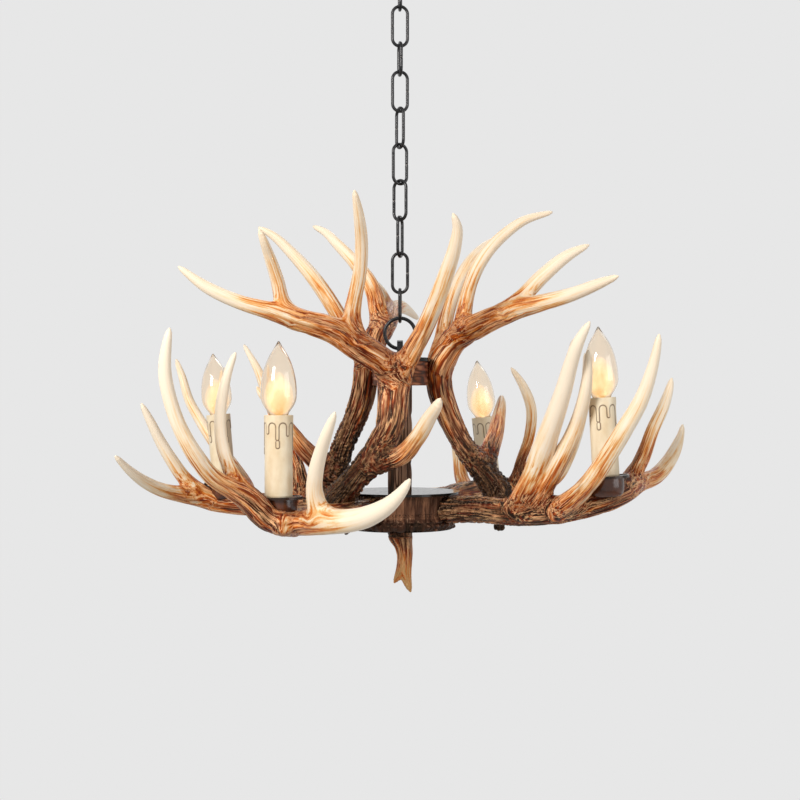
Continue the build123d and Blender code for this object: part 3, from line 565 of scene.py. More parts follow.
def horn_finish(name, seed, ivory, warm):
    """Stained resin. The tone, pushed up and down by streaks along the grain, picks ivory, amber,
    red-brown or black-brown; grooves darken it and wiped ridges show pale veins."""
    finish, tree, shader = new_finish(name, ivory, 0.36)
    warm_gloss(shader)
    links = tree.links.new
    sums = partial(maths, tree)

    def streaks(across, along, detail, offset):
        scale = tree.nodes.new("ShaderNodeMapping")
        scale.inputs["Scale"].default_value = (across, across, along)
        scale.inputs["Location"].default_value = (offset, offset * 2, seed)
        noise = tree.nodes.new("ShaderNodeTexNoise")
        noise.inputs["Scale"].default_value = 1
        noise.inputs["Detail"].default_value = detail
        noise.inputs["Roughness"].default_value = 0.6
        links(kept(tree, "grain", "Vector"), scale.inputs["Vector"])
        links(scale.outputs["Vector"], noise.inputs["Vector"])
        return noise.outputs["Fac"]

    def held(value, most):
        return sums("MAXIMUM", sums("MINIMUM", value, most), 0)

    tone = kept(tree, "tone")
    groove = kept(tree, "groove")
    long_streaks = streaks(0.3, 0.016, 4, 3)
    fine_streaks = streaks(0.62, 0.035, 4, 7)
    veins = streaks(0.34, 0.02, 3, 15)
    patches = streaks(0.07, 0.03, 3, 31)
    stain = sums("MULTIPLY", sums("SUBTRACT", long_streaks, 0.5), 1.8)
    stain = sums("MULTIPLY_ADD", sums("SUBTRACT", patches, 0.5), 0.8, stain)
    middle = sums("MULTIPLY", sums("SUBTRACT", 1.1, tone), sums("ADD", tone, 0.02))
    pushed = sums("MULTIPLY_ADD", stain, sums("MINIMUM", sums("MULTIPLY", middle, 4), 1), tone)
    lively = sums("MULTIPLY", sums("MAXIMUM", sums("SUBTRACT", tone, 0.05), 0), 0.9)
    pushed = sums("MULTIPLY_ADD", sums("SUBTRACT", fine_streaks, 0.5), lively, pushed)
    colour = ramp(
        tree,
        pushed,
        (0.03, ivory),
        (0.16, tuple(c * k for c, k in zip(ivory, (0.97, 0.86, 0.7)))),
        (0.29, warm),
        (0.42, (0.62, 0.165, 0.018)),
        (0.56, (0.35, 0.052, 0.005)),
        (0.74, (0.12, 0.012, 0.0025)),
        (0.92, (0.008, 0.002, 0.001)),
    )
    vein = sums("ABSOLUTE", sums("SUBTRACT", veins, 0.5))
    vein = sums("SUBTRACT", 1, sums("MINIMUM", sums("MULTIPLY", vein, 16), 1))
    body = held(sums("MULTIPLY", sums("SUBTRACT", tone, 0.18), 3), 1)
    dim = held(sums("MULTIPLY", sums("SUBTRACT", 1.06, tone), 2.8), 0.95)
    paled = sums("MULTIPLY", sums("MULTIPLY", vein, body), dim)
    colour = mixed(tree, paled, colour, (1.0, 0.56, 0.27))
    sunk = sums("MULTIPLY", groove, 0.85)
    colour = mixed(tree, sunk, colour, (0.16, 0.06, 0.03), "MULTIPLY")
    links(colour, shader.inputs["Base Color"])
    gloss = sums("MULTIPLY_ADD", sums("SUBTRACT", fine_streaks, 0.5), 0.3, 0.36)
    gloss = sums("MULTIPLY_ADD", tone, -0.14, gloss)
    links(sums("MULTIPLY_ADD", groove, 0.2, gloss), shader.inputs["Roughness"])
    worked = sums("MAXIMUM", sums("SUBTRACT", tone, 0.12), 0)
    height = sums("MULTIPLY", sums("ADD", fine_streaks, long_streaks), worked)
    bumped(tree, shader, height, 0.7, 0.0022)
    return finish


def from_hub(azimuth, reach, side):
    """The x and y of a place that lies at a reach along an azimuth, and then to the side."""
    out_x, out_y = cos(radians(azimuth)), sin(radians(azimuth))
    return reach * out_x - side * out_y, reach * out_y + side * out_x


def beside(azimuth, wall_r, seat_z, limbs):
    """Turn (out, side, up, radius) rows into (x, y, z, radius): out runs away from the hub's
    wall, side to the left as seen from the hub, up from the bolting height."""
    placed = []
    for rows, tones in limbs:
        out, side, up, radius = np.asarray(rows, float).T
        x, y = from_hub(azimuth, wall_r + out, side)
        placed.append((np.column_stack([x, y, seat_z + up, radius]), tones))
    return placed


lower_horn = horn_finish("lower_horn", 2.0, (0.93, 0.8, 0.63), (0.76, 0.4, 0.14))
lower_seat_z = -634.28
hub_r = 59
lower_antlers = {
    "front_left": (-120.5, [
        ([(-4, 0, 1, 14.5), (46, -1, -1, 14), (89, 0, 0, 14), (130, 0, 0, 14), (160, 1, -1, 12.5),
          (178, 12, 1, 12.5)],
         [0.95, 0.85, 0.78, 0.72, 0.68, 0.6]),
        ([(150, 0, -1, 12), (178, -5, 5, 12.5), (197, -14, 24, 12), (211, -20, 33, 10),
          (234, -31, 49, 8.5), (249, -36, 67, 8), (262, -42, 90, 7), (272, -46, 116, 6.5),
          (279, -47, 144, 6), (280, -44, 168, 4.5), (279, -41, 184, 1.2)],
         [0.72, 0.66, 0.36, 0.12, 0.02, 0]),
        ([(190, -8, 16, 11), (198, -18, 31, 9.5), (205, -27, 48, 7.5), (210, -34, 70, 6.3),
          (210, -38, 98, 5.5), (206, -37, 128, 5), (199, -33, 154, 3.3), (196, -30, 164, 1.2)],
         [0.7, 0.45, 0.12, 0.02, 0, 0]),
        ([(145, 0, -1, 12.5), (165, 29, 2, 13), (178, 55, 6, 13.5), (189, 88, 8, 11),
          (198, 120, 15, 9.5), (202, 144, 27, 7), (203, 158, 40, 4.5), (203, 165, 50, 1.5)],
         [0.72, 0.5, 0.26, 0.06, 0, 0]),
        ([(178, 56, 9, 11.5), (184, 54, 22, 9.3), (191, 56, 35, 7.8), (200, 64, 54, 7),
          (208, 75, 73, 6), (215, 87, 91, 4.8), (220, 98, 108, 1.3)],
         [0.24, 0.1, 0.03, 0, 0, 0]),
    ]),
    "right": (-31, [
        ([(-4, -1, 0, 15), (39, 1, 2, 15), (80, -2, 1, 14.5), (117, -5, 3, 14),
          (151, -6, 10, 14.5), (178, 2, 17, 14), (190, 29, 25, 12.5), (193, 66, 32, 10),
          (199, 97, 38, 9), (203, 122, 51, 8), (205, 145, 69, 6), (206, 156, 83, 3.5),
          (206, 160, 92, 1.2)],
         [0.95, 0.84, 0.76, 0.66, 0.24, 0.03]),
        ([(189, 27, 26, 10.5), (191, 48, 39, 9.5), (197, 61, 57, 8.2), (204, 74, 87, 7),
          (212, 86, 113, 6), (215, 92, 128, 4.5), (217, 96, 142, 1.5)],
         [0.66, 0.5, 0.34, 0.18, 0.07, 0.03]),
        ([(132, -9, 6, 12), (164, -32, 23, 10.5), (187, -45, 41, 9.5), (202, -45, 62, 9),
          (220, -46, 89, 8.6), (238, -47, 118, 7.3), (250, -51, 146, 5.6), (257, -55, 168, 3.9),
          (260, -57, 181, 1.2)],
         [0.74, 0.5, 0.26, 0.1, 0.04, 0.04]),
        ([(110, -11, 12, 11), (126, -15, 36, 10), (146, -19, 66, 8.6), (160, -23, 92, 7.6),
          (173, -34, 118, 6.5), (180, -41, 143, 5), (182, -44, 168, 1.2)],
         [0.74, 0.4, 0.2, 0.08, 0.04, 0.02]),
        ([(83, -4, 4, 13), (96, -10, 19, 13), (108, -16, 36, 12.3), (126, -29, 68, 11.3),
          (143, -40, 98, 10), (159, -51, 128, 8.4), (171, -60, 154, 7), (181, -66, 173, 5.9),
          (195, -69, 194, 1.5)],
         [0.72, 0.26, 0.08, 0.02, 0, 0]),
    ]),
    "back_left": (152, [
        ([(-4, 0, 0, 15), (45, 1, -2, 14.5), (90, 0, -5, 14.5), (136, 4, -2, 14.5),
          (175, 11, 1, 14), (192, 28, 6, 12), (200, 52, 10, 9.6), (204, 83, 17, 8),
          (205, 110, 27, 6.8), (204, 136, 40, 5), (204, 162, 58, 1.5)],
         [0.95, 0.82, 0.72, 0.5, 0.1, 0.02]),
        ([(180, 16, 3, 11), (192, 29, 14, 9.6), (200, 42, 27, 8.4), (207, 58, 49, 7.4),
          (213, 72, 72, 6.3), (217, 85, 95, 5), (221, 96, 115, 1.2)],
         [0.6, 0.42, 0.14, 0.05, 0.02, 0.02]),
        ([(146, -6, -2, 12), (168, -34, 15, 10), (195, -41, 42, 8.6), (221, -42, 69, 7.4),
          (240, -41, 94, 6.5), (256, -41, 118, 5.8), (267, -41, 148, 4.6), (279, -45, 169, 1.2)],
         [0.7, 0.4, 0.2, 0.12, 0.1, 0.08]),
        ([(155, -2, 0, 11), (188, -22, 16, 9), (201, -28, 40, 7.5), (208, -34, 66, 6.4),
          (210, -37, 92, 5.6), (207, -37, 120, 5), (197, -31, 158, 1.2)],
         [0.7, 0.34, 0.12, 0.06, 0.02, 0]),
        ([(66, 0, -3, 13), (72, -6, 14, 12), (84, -17, 37, 10), (113, -33, 75, 8.6),
          (152, -58, 122, 7), (175, -74, 151, 5.4), (206, -86, 187, 1.5)],
         [0.82, 0.7, 0.46, 0.22, 0.1, 0.06]),
    ]),
    "back_right": (60, [
        ([(-4, 4, 1, 14.5), (47, 7, 3, 14), (91, 10, 5, 14), (133, 12, 6, 14), (170, 14, 2, 14),
          (197, 4, 1, 12.5), (213, -22, 7, 10.5), (228, -42, 10, 9), (245, -54, 22, 8.6),
          (260, -62, 46, 8.6), (270, -69, 73, 8.2), (276, -75, 105, 7.4), (280, -79, 137, 6.3),
          (280, -79, 161, 4.6), (279, -78, 179, 1.5)],
         [0.95, 0.82, 0.62, 0.3, 0.1, 0.04]),
        ([(210, -20, 8, 10), (215, -31, 26, 8.6), (218, -44, 55, 8), (221, -57, 93, 7.4),
          (224, -70, 130, 6.6), (224, -79, 165, 5.2), (224, -85, 194, 1.3)],
         [0.6, 0.3, 0.12, 0.08, 0.06, 0.04]),
        ([(200, -2, 4, 9), (205, -13, 18, 7.6), (206, -22, 43, 6.6), (207, -33, 74, 6.8),
          (205, -36, 109, 6.6), (200, -29, 133, 5.7), (191, -15, 159, 1.4)],
         [0.92, 0.84, 0.34, 0.14, 0.1, 0.06]),
        ([(172, 18, 3, 12.5), (185, 42, 7, 10), (195, 56, 19, 9), (204, 64, 41, 8.4),
          (213, 73, 66, 7), (220, 83, 92, 5), (224, 90, 111, 1.5)],
         [0.7, 0.5, 0.3, 0.1, 0.04, 0]),
        ([(172, 18, 1, 12), (188, 52, -1, 10), (199, 89, -3, 8.8), (205, 122, -3, 6.6),
          (207, 143, 0, 4), (207, 154, 3, 1.5)],
         [0.7, 0.5, 0.24, 0.08, 0.02, 0]),
    ]),
}
for seed, (name, (azimuth, limbs)) in enumerate(lower_antlers.items()):
    placed = beside(azimuth, hub_r, lower_seat_z, limbs)
    antler = cast_antler(f"lower_horn_{name}", placed, lower_horn, seed=seed + 2)
    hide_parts(f"lower_antler_{name}")
    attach(antler, "lamp")

# The upper antlers are the same castings in a redder stain. Each stands on a lower one with a
# dark, pebbled foot and is bolted to the upper hub where its leg passes into the crown.
upper_horn = horn_finish("upper_horn", 5.0, (0.94, 0.79, 0.61), (0.8, 0.4, 0.13))
upper_seat_z = -487.28
upper_hub_r = 30.5
upper_antlers = {
    "front": (-90, [
        ([(16, -56, -170.5, 4), (19, -60, -158.8, 11), (29, -66, -136.7, 16.5),
          (41, -52, -117.6, 15), (42, -28, -88.2, 15), (31, -12, -60.3, 16.5),
          (20, -8, -29.4, 17.5), (14, -8, -4.4, 17), (18, -11, 4.4, 15.5)],
         [1, 1, 0.92, 0.76, 0.68, 0.62]),
        ([(41, -32, -97, 13), (50, -12, -91.1, 12), (62, 1, -85.3, 11), (82, 17, -67.6, 9),
          (104, 30, -45.6, 7), (118, 37, -33.8, 5), (124, 40, -26.5, 2)],
         [0.98, 0.94, 0.5, 0.2, 0.06, 0.02]),
        ([(15, -4, -4, 15.5), (24, -21, 14, 16), (33, -42, 27, 16), (46, -70, 44, 14.5),
          (62, -103, 53, 12), (72, -133, 62, 9.5), (79, -162, 70, 7.5), (86, -197, 86, 6),
          (91, -224, 106, 1.5)],
         [0.66, 0.6, 0.5, 0.3, 0.07, 0.02]),
        ([(34, -46, 32, 12), (41, -50, 60, 9.6), (48, -47, 76, 8.2), (64, -41, 104, 7.2),
          (84, -39, 133, 6.5), (104, -41, 155, 5.4), (124, -45, 178, 1.5)],
         [0.56, 0.34, 0.17, 0.12, 0.08, 0.06]),
        ([(60, -108, 54, 9), (65, -120, 71, 8), (74, -125, 93, 7), (91, -132, 117, 5.6),
          (104, -136, 130, 4.2), (112, -140, 141, 1.5)],
         [0.5, 0.32, 0.18, 0.12, 0.08, 0.06]),
        ([(18, -2, -2, 14), (27, 12, 22, 11.5), (38, 25, 45, 9.8), (58, 37, 72, 9),
          (80, 48, 102, 8), (98, 55, 125, 6.6), (110, 57, 142, 5), (120, 52, 156, 1.5)],
         [0.64, 0.46, 0.24, 0.12, 0.08, 0.04]),
    ]),
    "right": (30, [
        ([(43, -84, -167.6, 5), (44, -85, -154.4, 11), (46, -81, -133.8, 16),
          (42, -55, -107.3, 15), (33, -23, -73.5, 13), (22, -12, -41.2, 14), (15, -8, -14.7, 15),
          (15, -7, 7.4, 15), (22, -7, 25, 14.5)],
         [1, 0.98, 0.9, 0.8, 0.66, 0.54]),
        ([(44, -58, -107.3, 12), (58, -42, -88.2, 11.4), (82, -19, -67.6, 9.5), (102, 4, -50, 8),
          (120, 25, -32.3, 5.4), (128, 36, -23.5, 2)],
         [0.96, 0.84, 0.44, 0.34, 0.2, 0.14]),
        ([(15, -6, 4, 14), (26, -23, 38, 15), (30, -47, 47, 14.5), (38, -74, 57, 13),
          (50, -104, 67, 11.6), (61, -134, 72, 9.2), (76, -165, 79, 7.4), (87, -201, 89, 5.4),
          (92, -225, 95, 1.5)],
         [0.62, 0.56, 0.5, 0.28, 0.07, 0.03]),
        ([(28, -32, 42, 10), (27, -39, 64, 9), (34, -37, 89, 8), (46, -35, 114, 7.6),
          (63, -35, 137, 7), (83, -35, 155, 6.4), (108, -38, 172, 5.2), (141, -48, 183, 1.5)],
         [0.5, 0.28, 0.14, 0.08, 0.06, 0.04]),
        ([(44, -92, 64, 9), (58, -109, 82, 8.6), (75, -119, 102, 8), (99, -131, 124, 6.2),
          (120, -142, 136, 1.5)],
         [0.5, 0.26, 0.12, 0.06, 0.04, 0.02]),
        ([(20, -6, 24, 11.5), (28, 3, 49, 9.2), (43, 15, 78, 8), (66, 27, 112, 7.5),
          (90, 37, 137, 6.5), (113, 44, 153, 5), (131, 48, 163, 1.5)],
         [0.52, 0.34, 0.16, 0.1, 0.06, 0.04]),
    ]),
    "left": (150, [
        ([(74, -27, -174.9, 5), (73, -26, -163.2, 11), (70, -23, -144.1, 16),
          (63, -16, -117.6, 15), (51, -10, -85.3, 14.5), (34, -7, -54.4, 14.5),
          (21, -5, -26.5, 14.5), (14.5, -3, 0, 14.5), (12, -5, 20.6, 15)],
         [1, 0.98, 0.96, 0.9, 0.78, 0.66]),
        ([(60, -17, -124.9, 13), (72, -1, -104.4, 12), (87, 16, -82.3, 10.6),
          (104, 26, -57.3, 8.5), (119, 34, -33.8, 6), (129, 40, -19.1, 3.8), (132, 42, -13.2, 1.5)],
         [0.96, 0.86, 0.62, 0.34, 0.16, 0.1]),
        ([(13, -4, 6, 14), (12, -17, 38, 14.5), (15, -43, 55, 13.5), (27, -76, 70, 12),
          (43, -113, 79, 10), (59, -156, 85, 8), (73, -200, 83, 5.8), (80, -238, 75, 1.5)],
         [0.68, 0.6, 0.5, 0.26, 0.07, 0.03]),
        ([(14, -32, 46, 12), (22, -41, 76, 11.4), (34, -46, 101, 9.8), (59, -50, 130, 7.6),
          (83, -52, 152, 6.3), (104, -55, 169, 4.5), (121, -55, 177, 1.5)],
         [0.66, 0.5, 0.24, 0.1, 0.06, 0.04]),
        ([(34, -84, 70, 9), (50, -98, 93, 8), (76, -112, 113, 7), (101, -126, 128, 5),
          (118, -134, 136, 1.5)],
         [0.5, 0.26, 0.12, 0.06, 0.04, 0.02]),
        ([(13, -4, 16, 12), (27, 3, 34, 10.5), (45, 11, 69, 9.5), (66, 21, 104, 8.4),
          (90, 33, 135, 6.5), (108, 45, 155, 4.6), (121, 55, 164, 1.5)],
         [0.64, 0.52, 0.24, 0.1, 0.06, 0.04]),
    ]),
}
for seed, (name, (azimuth, limbs)) in enumerate(upper_antlers.items()):
    placed = beside(azimuth, upper_hub_r, upper_seat_z, limbs)
    antler = cast_antler(f"upper_horn_{name}", placed, upper_horn, relief=1.15, seed=seed + 21)
    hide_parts(f"upper_antler_{name}")
    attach(antler, "lamp")


# ---------------------------------------------------------------------------------------------
# Hubs and column: resin turned and carved like the antlers' own bark and burr, stained brown.
# The column's bark and the burr's ribs and ragged rim are pressed into the surface.
# ---------------------------------------------------------------------------------------------


def turned_skin(name, profile, relief, finish, around=360):
    """A profile of (radius, height) spun about the axis, sunk by relief(angle, height, radius)."""
    radius, height = np.asarray(profile, float).T
    angles, heights = np.meshgrid(whole_turn(around), height)
    radii = np.repeat(radius[:, None], around, 1)
    sink = relief(angles, heights, radii)
    radii = np.maximum(radii - sink, 0.01)
    points = np.stack([radii * np.cos(angles), radii * np.sin(angles), heights], -1).reshape(-1, 3)
    piece = skin(name, points, grid_faces(len(radius), around, True, True), finish)
    mark(piece, "groove", np.clip(sink.ravel() / max(sink.max(), 0.01), 0, 1))
    return piece


def fine_run(*corners, step=0.8):
    """A closed run of (radius, height) points about step apart, through the corners given."""
    corners = np.array([*corners, corners[0]], float)
    parts = [
        np.linspace(a, b, max(int(hypot(*(b - a)) / step), 1), endpoint=False)
        for a, b in zip(corners[:-1], corners[1:])
    ]
    return np.concatenate(parts)


def bark_finish(name, dark, mid, light, rough):
    """Stained bark: the groove's depth picks the colour between light ridges and dark bottoms,
    with long blotches over it."""
    finish, tree, shader = new_finish(name, mid, rough)
    warm_gloss(shader)
    blotch = spread(tree, wear_noise(tree, 60, 6, (1, 1, 0.25)), -0.2, 0.35)
    depth = maths(tree, "MULTIPLY_ADD", kept(tree, "groove"), 0.9, blotch)
    colour = ramp(tree, depth, (0.05, light), (0.4, mid), (0.85, dark))
    tree.links.new(colour, shader.inputs["Base Color"])
    fine = wear_noise(tree, 700, 4, (1, 1, 0.2))
    dull = spread(tree, fine, rough - 0.1, rough + 0.14)
    tree.links.new(dull, shader.inputs["Roughness"])
    bumped(tree, shader, fine, 0.45, 0.0006)
    return finish


def round_map(angle, height, across, tall):
    """Places for noise that closes round the axis: a circle of radius across, in the noise's own
    units, with the height over tall."""
    places = [np.cos(angle) * across, np.sin(angle) * across, height / tall]
    return np.stack(places, -1).reshape(-1, 3)


# How far inside its outer radius a piece still takes the relief of its outside.
outside_slack = 0.5
tube_bore = 5.1
sleeve_r = 13.5
column_low, column_high = -615.78, -500.28
column_bark = bark_finish(
    "column_bark", (0.008, 0.004, 0.003), (0.08, 0.035, 0.02), (0.34, 0.2, 0.13), 0.38
)


def bark_relief(angle, height, radius):
    """Furrows down the column: folded noise with its places 26 mm long, only on the outside."""
    places = round_map(angle, height, 4.2, 26)
    furrow = folded(lattice(places, 31))
    knots = lattice(places * (0.6, 0.6, 2.4), 33)
    sink = 1.5 * above(furrow, 0.5) ** 1.2 + 0.5 * knots
    return sink.reshape(angle.shape) * (radius > sleeve_r - outside_slack)


column = turned_skin(
    "column_bark",
    fine_run(
        (sleeve_r, column_low),
        (sleeve_r, column_high),
        (tube_bore, column_high),
        (tube_bore, column_low),
    ),
    bark_relief,
    column_bark,
    around=200,
)
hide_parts("column_sleeve")
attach(column, "lamp")

upper_low, upper_high = -500.28, -474.28
upper_floor, upper_chamber_r = 6, 24.5
hub_bark = bark_finish(
    "hub_bark", (0.03, 0.006, 0.003), (0.22, 0.06, 0.025), (0.62, 0.26, 0.13), 0.36
)


def drum_relief(angle, height, radius):
    """Shallow level grooves round the drum, waved by noise with its places 3.2 mm high."""
    places = round_map(angle, height, 1.8, 3.2)
    line = folded(lattice(places, 41))
    sink = 0.7 * above(line, 0.55) + 0.2 * lattice(places * 2.1, 43)
    return sink.reshape(angle.shape) * (radius > upper_hub_r - outside_slack)


drum = turned_skin(
    "upper_hub_drum",
    fine_run(
        (upper_hub_r, upper_low),
        (upper_hub_r, upper_high),
        (upper_chamber_r, upper_high),
        (upper_chamber_r, upper_low + upper_floor),
        (tube_bore, upper_low + upper_floor),
        (tube_bore, upper_low),
        step=0.9,
    ),
    drum_relief,
    hub_bark,
    around=260,
)
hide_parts("upper_hub")
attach(drum, "lamp")

hub_low, hub_high = -656.28, -618.28
hub_floor, hub_chamber_r = 6, 51
# The rim swells out over its upper half and is tucked in under its lower half.
rim_r = 64
rim_top, rim_half, rim_tuck = 16, 8, 5
burr_bark = bark_finish(
    "burr_bark", (0.005, 0.002, 0.001), (0.04, 0.014, 0.008), (0.28, 0.13, 0.07), 0.34
)


def burr_relief(angle, height, radius):
    """A burr's ribs and rim. Noise with tall places is folded into upright ribs. On the rim, noise
    with 5 mm places breaks it into beads, and a slower noise makes it stand out more here and less
    there."""

    def around(across, tall, seed):
        return lattice(round_map(angle, height, across, tall), seed).reshape(angle.shape)

    rib = np.maximum(folded(around(20, 60, 51)), 0.8 * folded(around(33, 26, 52)))
    outside = radius > hub_r - 1
    low = np.clip((hub_low + 15 - height) / 6, 0, 1)
    beads = np.clip(2.2 * np.abs(around(14, 5, 53) - 0.5), 0, 1)
    ragged = around(6, 60, 54)
    walls = 1.9 * above(rib, 0.45)
    return outside * ((1 - low) * walls + low * (0.5 * walls + 3 * (1 - beads) + 3 * ragged))


rim_steps = np.linspace(0, pi / 2, 26)
burr_rim = [
    (hub_r + (rim_r - hub_r) * sin(t) ** 1.5, hub_low + rim_top - rim_half * t / (pi / 2))
    for t in rim_steps
]
burr_rim += [
    (rim_r - rim_tuck * (1 - cos(t)), hub_low + rim_half - rim_half * sin(t)) for t in rim_steps[1:]
]
# The wall's run doubles back 3 mm at its foot before the rim begins.
wall_points = 32
burr = turned_skin(
    "burr_hub_ribs",
    np.concatenate(
        [
            fine_run((hub_r, hub_high), (hub_r, hub_low + rim_top))[:wall_points],
            burr_rim,
            np.linspace((rim_r - rim_tuck, hub_low), (tube_bore, hub_low), 30)[1:],
            [(tube_bore, hub_low + hub_floor)],
            np.linspace((hub_chamber_r, hub_low + hub_floor), (hub_chamber_r, hub_high), 8),
        ]
    )[::-1],
    burr_relief,
    burr_bark,
    around=640,
)
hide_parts("burr_hub")
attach(burr, "lamp")

# The finial: a small burr cap and a forked tip on the rod's end, cast as the antlers are.
finial_top = -659.28
finial_horn = horn_finish("finial_horn", 9.0, (0.66, 0.43, 0.2), (0.5, 0.25, 0.09))
fork_lines = [
    (
        [(1, 0, -2, 12), (3, 0, -12, 10.5), (5, 0, -25, 9.3), (5, 0, -41, 8), (8, 0, -56, 5),
         (12, 0, -68, 1.5)],
        [0.8, 0.76, 0.56, 0.36, 0.3, 0.24],
    ),
    (
        [(4, 0, -37, 7), (0, 0, -46, 5.5), (-4, 0, -53, 3.6), (-7, 0, -58, 1.5)],
        [0.4, 0.34, 0.28, 0.24],
    ),
    ([(0, 0, 2, 13.5), (0, 0, -3, 14), (0, 0, -5, 13)], [0.98, 0.95, 0.9]),
]
fork_limbs = [
    (np.array(rows, float) + (0, 0, finial_top, 0), tones) for rows, tones in fork_lines
]
fork = cast_antler(
    "finial_fork", fork_limbs, finial_horn, voxel=0.6, softness=1.2, relief=0.7, seed=61
)
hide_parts("finial")
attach(fork, "lamp")


# ---------------------------------------------------------------------------------------------
# Candle lamps: a dark steel pan on a glossy brown cup, a lampholder inside a cream sleeve with
# moulded wax drips whose edges are painted brown, and a clear 35 mm candle bulb, lit.
# ---------------------------------------------------------------------------------------------
pan_metal = mottled(
    "pan_metal", (0.012, 0.007, 0.005), (0.05, 0.024, 0.015), (0.18, 0.34), 0.5, 110, 0.2
)
cup_glaze = mottled(
    "cup_glaze", (0.03, 0.008, 0.004), (0.16, 0.046, 0.015), (0.1, 0.24), 0, 70, 0.25
)
holder_plastic = mottled(
    "holder_plastic", (0.62, 0.57, 0.46), (0.72, 0.67, 0.56), (0.35, 0.5), 0, 160, 0.15
)
brass = mottled("brass", (0.5, 0.33, 0.12), (0.72, 0.5, 0.2), (0.2, 0.36), 1, 160, 0.2)

wax, tree, shader = new_finish("candle_wax", (0.8, 0.69, 0.5), 0.4)
clouds = wear_noise(tree, 90, 5, (1, 1, 0.5))
cream = ramp(tree, clouds, (0.34, (0.7, 0.55, 0.35)), (0.66, (0.82, 0.71, 0.52)))
cream = mixed(tree, kept(tree, "outline"), cream, (0.1, 0.04, 0.012))
tree.links.new(cream, shader.inputs["Base Color"])
tree.links.new(spread(tree, clouds, 0.36, 0.5), shader.inputs["Roughness"])
bumped(tree, shader, clouds, 0.2, 0.0006)

bulb_clear, tree, shader = new_finish("bulb_clear", (0.96, 0.89, 0.8), 0.06)
shader.inputs["Transmission Weight"].default_value = 1
shader.inputs["IOR"].default_value = 1.45
shader.inputs["Emission Strength"].default_value = 0.02
haze = wear_noise(tree, 120, 4, (1, 1, 0.6))
glow = ramp(tree, haze, (0.3, (1, 0.62, 0.26)), (0.7, (1, 0.8, 0.5)))
tree.links.new(glow, shader.inputs["Emission Color"])
tree.links.new(spread(tree, haze, 0.04, 0.12), shader.inputs["Roughness"])

# The lit filaments' glow is drawn by thin nested shells: each lets most light by and adds some,
# so that the light is white in the middle and fades warm towards the glass. A shell's heat, 1 in
# the middle and 0 at the outermost, picks its glow.
bulb_flame, tree, shader = new_finish("bulb_flame", (1, 0.93, 0.76), 0.5)
shader.inputs["Alpha"].default_value = 0.16
shader.inputs["Emission Strength"].default_value = 6
flicker = spread(tree, wear_noise(tree, 150, 3, (1, 1, 0.3)), -0.1, 0.1)
stirred = maths(tree, "ADD", kept(tree, "heat"), flicker)
glow = ramp(
    tree, stirred, (0, (0.11, 0.065, 0.025)), (0.4, (0.66, 0.58, 0.46)), (1, (1, 0.97, 0.93))
)
tree.links.new(glow, shader.inputs["Emission Color"])

candle_r = 14
candle_bore_r = 12
candle_h = 79
pan_t = 1.5
bulb_foot = 71.5
# The wax on the unrolled sleeve: how deep its band is, how deep the arches' centres lie and their
# radius, half the width of a drip, the radius of a loose drop, how far a turn of 1 shifts the
# drips, and their lengths. Then how far the wax stands proud, the width over which its edge is
# rounded, and the rounding of the rim.
band_deep = 11
arch_deep, arch_r = 11.2, 3.9
drip_r, drop_r = 1.5, 1.7
drip_turn = 20
drip_lengths = [26, 17, 22, 14, 30, 18, 24, 20]
wax_proud, wax_round, rim_round = 0.55, 0.5, 0.4
# Each candle's azimuth, its place out, to the side and up as on its antler, its lean in degrees,
# and the turn of its drips.
candle_seats = {
    "front_left": (-120.5, 159, -7, 23, 0, 0.0),
    "right": (-31, 185, -6, 40, 3, 0.35),
    "back_left": (152, 169, 8, 21, 5, 0.6),
    "back_right": (60, 184, 11, 16.5, 6, 1.1),
}


def wax_edge(around_mm, down):
    """Signed distance to the edge of the run wax, positive inside it, on the unrolled sleeve.

    The wax is a band below the rim with round arches cut up into it, joined with drips: upright
    bars with round ends, each with its own length, and a loose drop under some of them.
    """
    lap = 2 * pi * candle_r
    pitch = lap / len(drip_lengths)
    wax = band_deep - down
    drips = np.arange(len(drip_lengths)) * pitch
    for centre in drips:
        off = nearest_way(around_mm - centre - pitch / 2, lap)
        wax = np.minimum(wax, np.hypot(off, down - arch_deep) - arch_r)
    for centre, length in zip(drips, drip_lengths):
        off = nearest_way(around_mm - centre, lap)
        bar = drip_r - np.hypot(off, down - np.clip(down, 6, length - drip_r))
        wax = np.maximum(wax, bar)
        if length > 20:
            drop = drop_r - np.hypot(off - 0.3, down - np.clip(down, length + 2, length + 6))
            wax = np.maximum(wax, drop)
    return wax


sleeve_columns = 216


def sleeve_points(turn):
    """The sleeve's skin: rows run up the bore, over the rim and down the outside, closer together
    where the wax has run. Gives the points, how dark each is, and the rows and columns."""
    down = np.concatenate([np.linspace(0.4, 46, 112), np.linspace(48, candle_h, 14)])
    heights = [0, candle_h - rim_round, candle_h, candle_h, *(candle_h - down)]
    radii = [candle_bore_r, candle_bore_r, candle_bore_r + rim_round, candle_r - rim_round]
    plain = np.zeros((len(radii), sleeve_columns))
    radii += [candle_r] * len(down)
    angle = whole_turn(sleeve_columns)
    around_mm = (angle[None, :] * candle_r + turn * drip_turn) % (2 * pi * candle_r)
    edge = wax_edge(around_mm, down[:, None])
    sink = wax_proud * (0.5 - 0.5 * np.clip(edge / wax_round, -1, 1))
    dark = np.concatenate([plain, np.exp(-((edge + 0.15) ** 2) / 0.3)])
    radii = np.array(radii, float)[:, None] - np.concatenate([plain, sink])
    rises = np.repeat(np.array(heights)[:, None], sleeve_columns, 1)
    points = np.stack([radii * np.cos(angle), radii * np.sin(angle), rises], -1)
    return points.reshape(-1, 3), dark.ravel(), len(heights), sleeve_columns


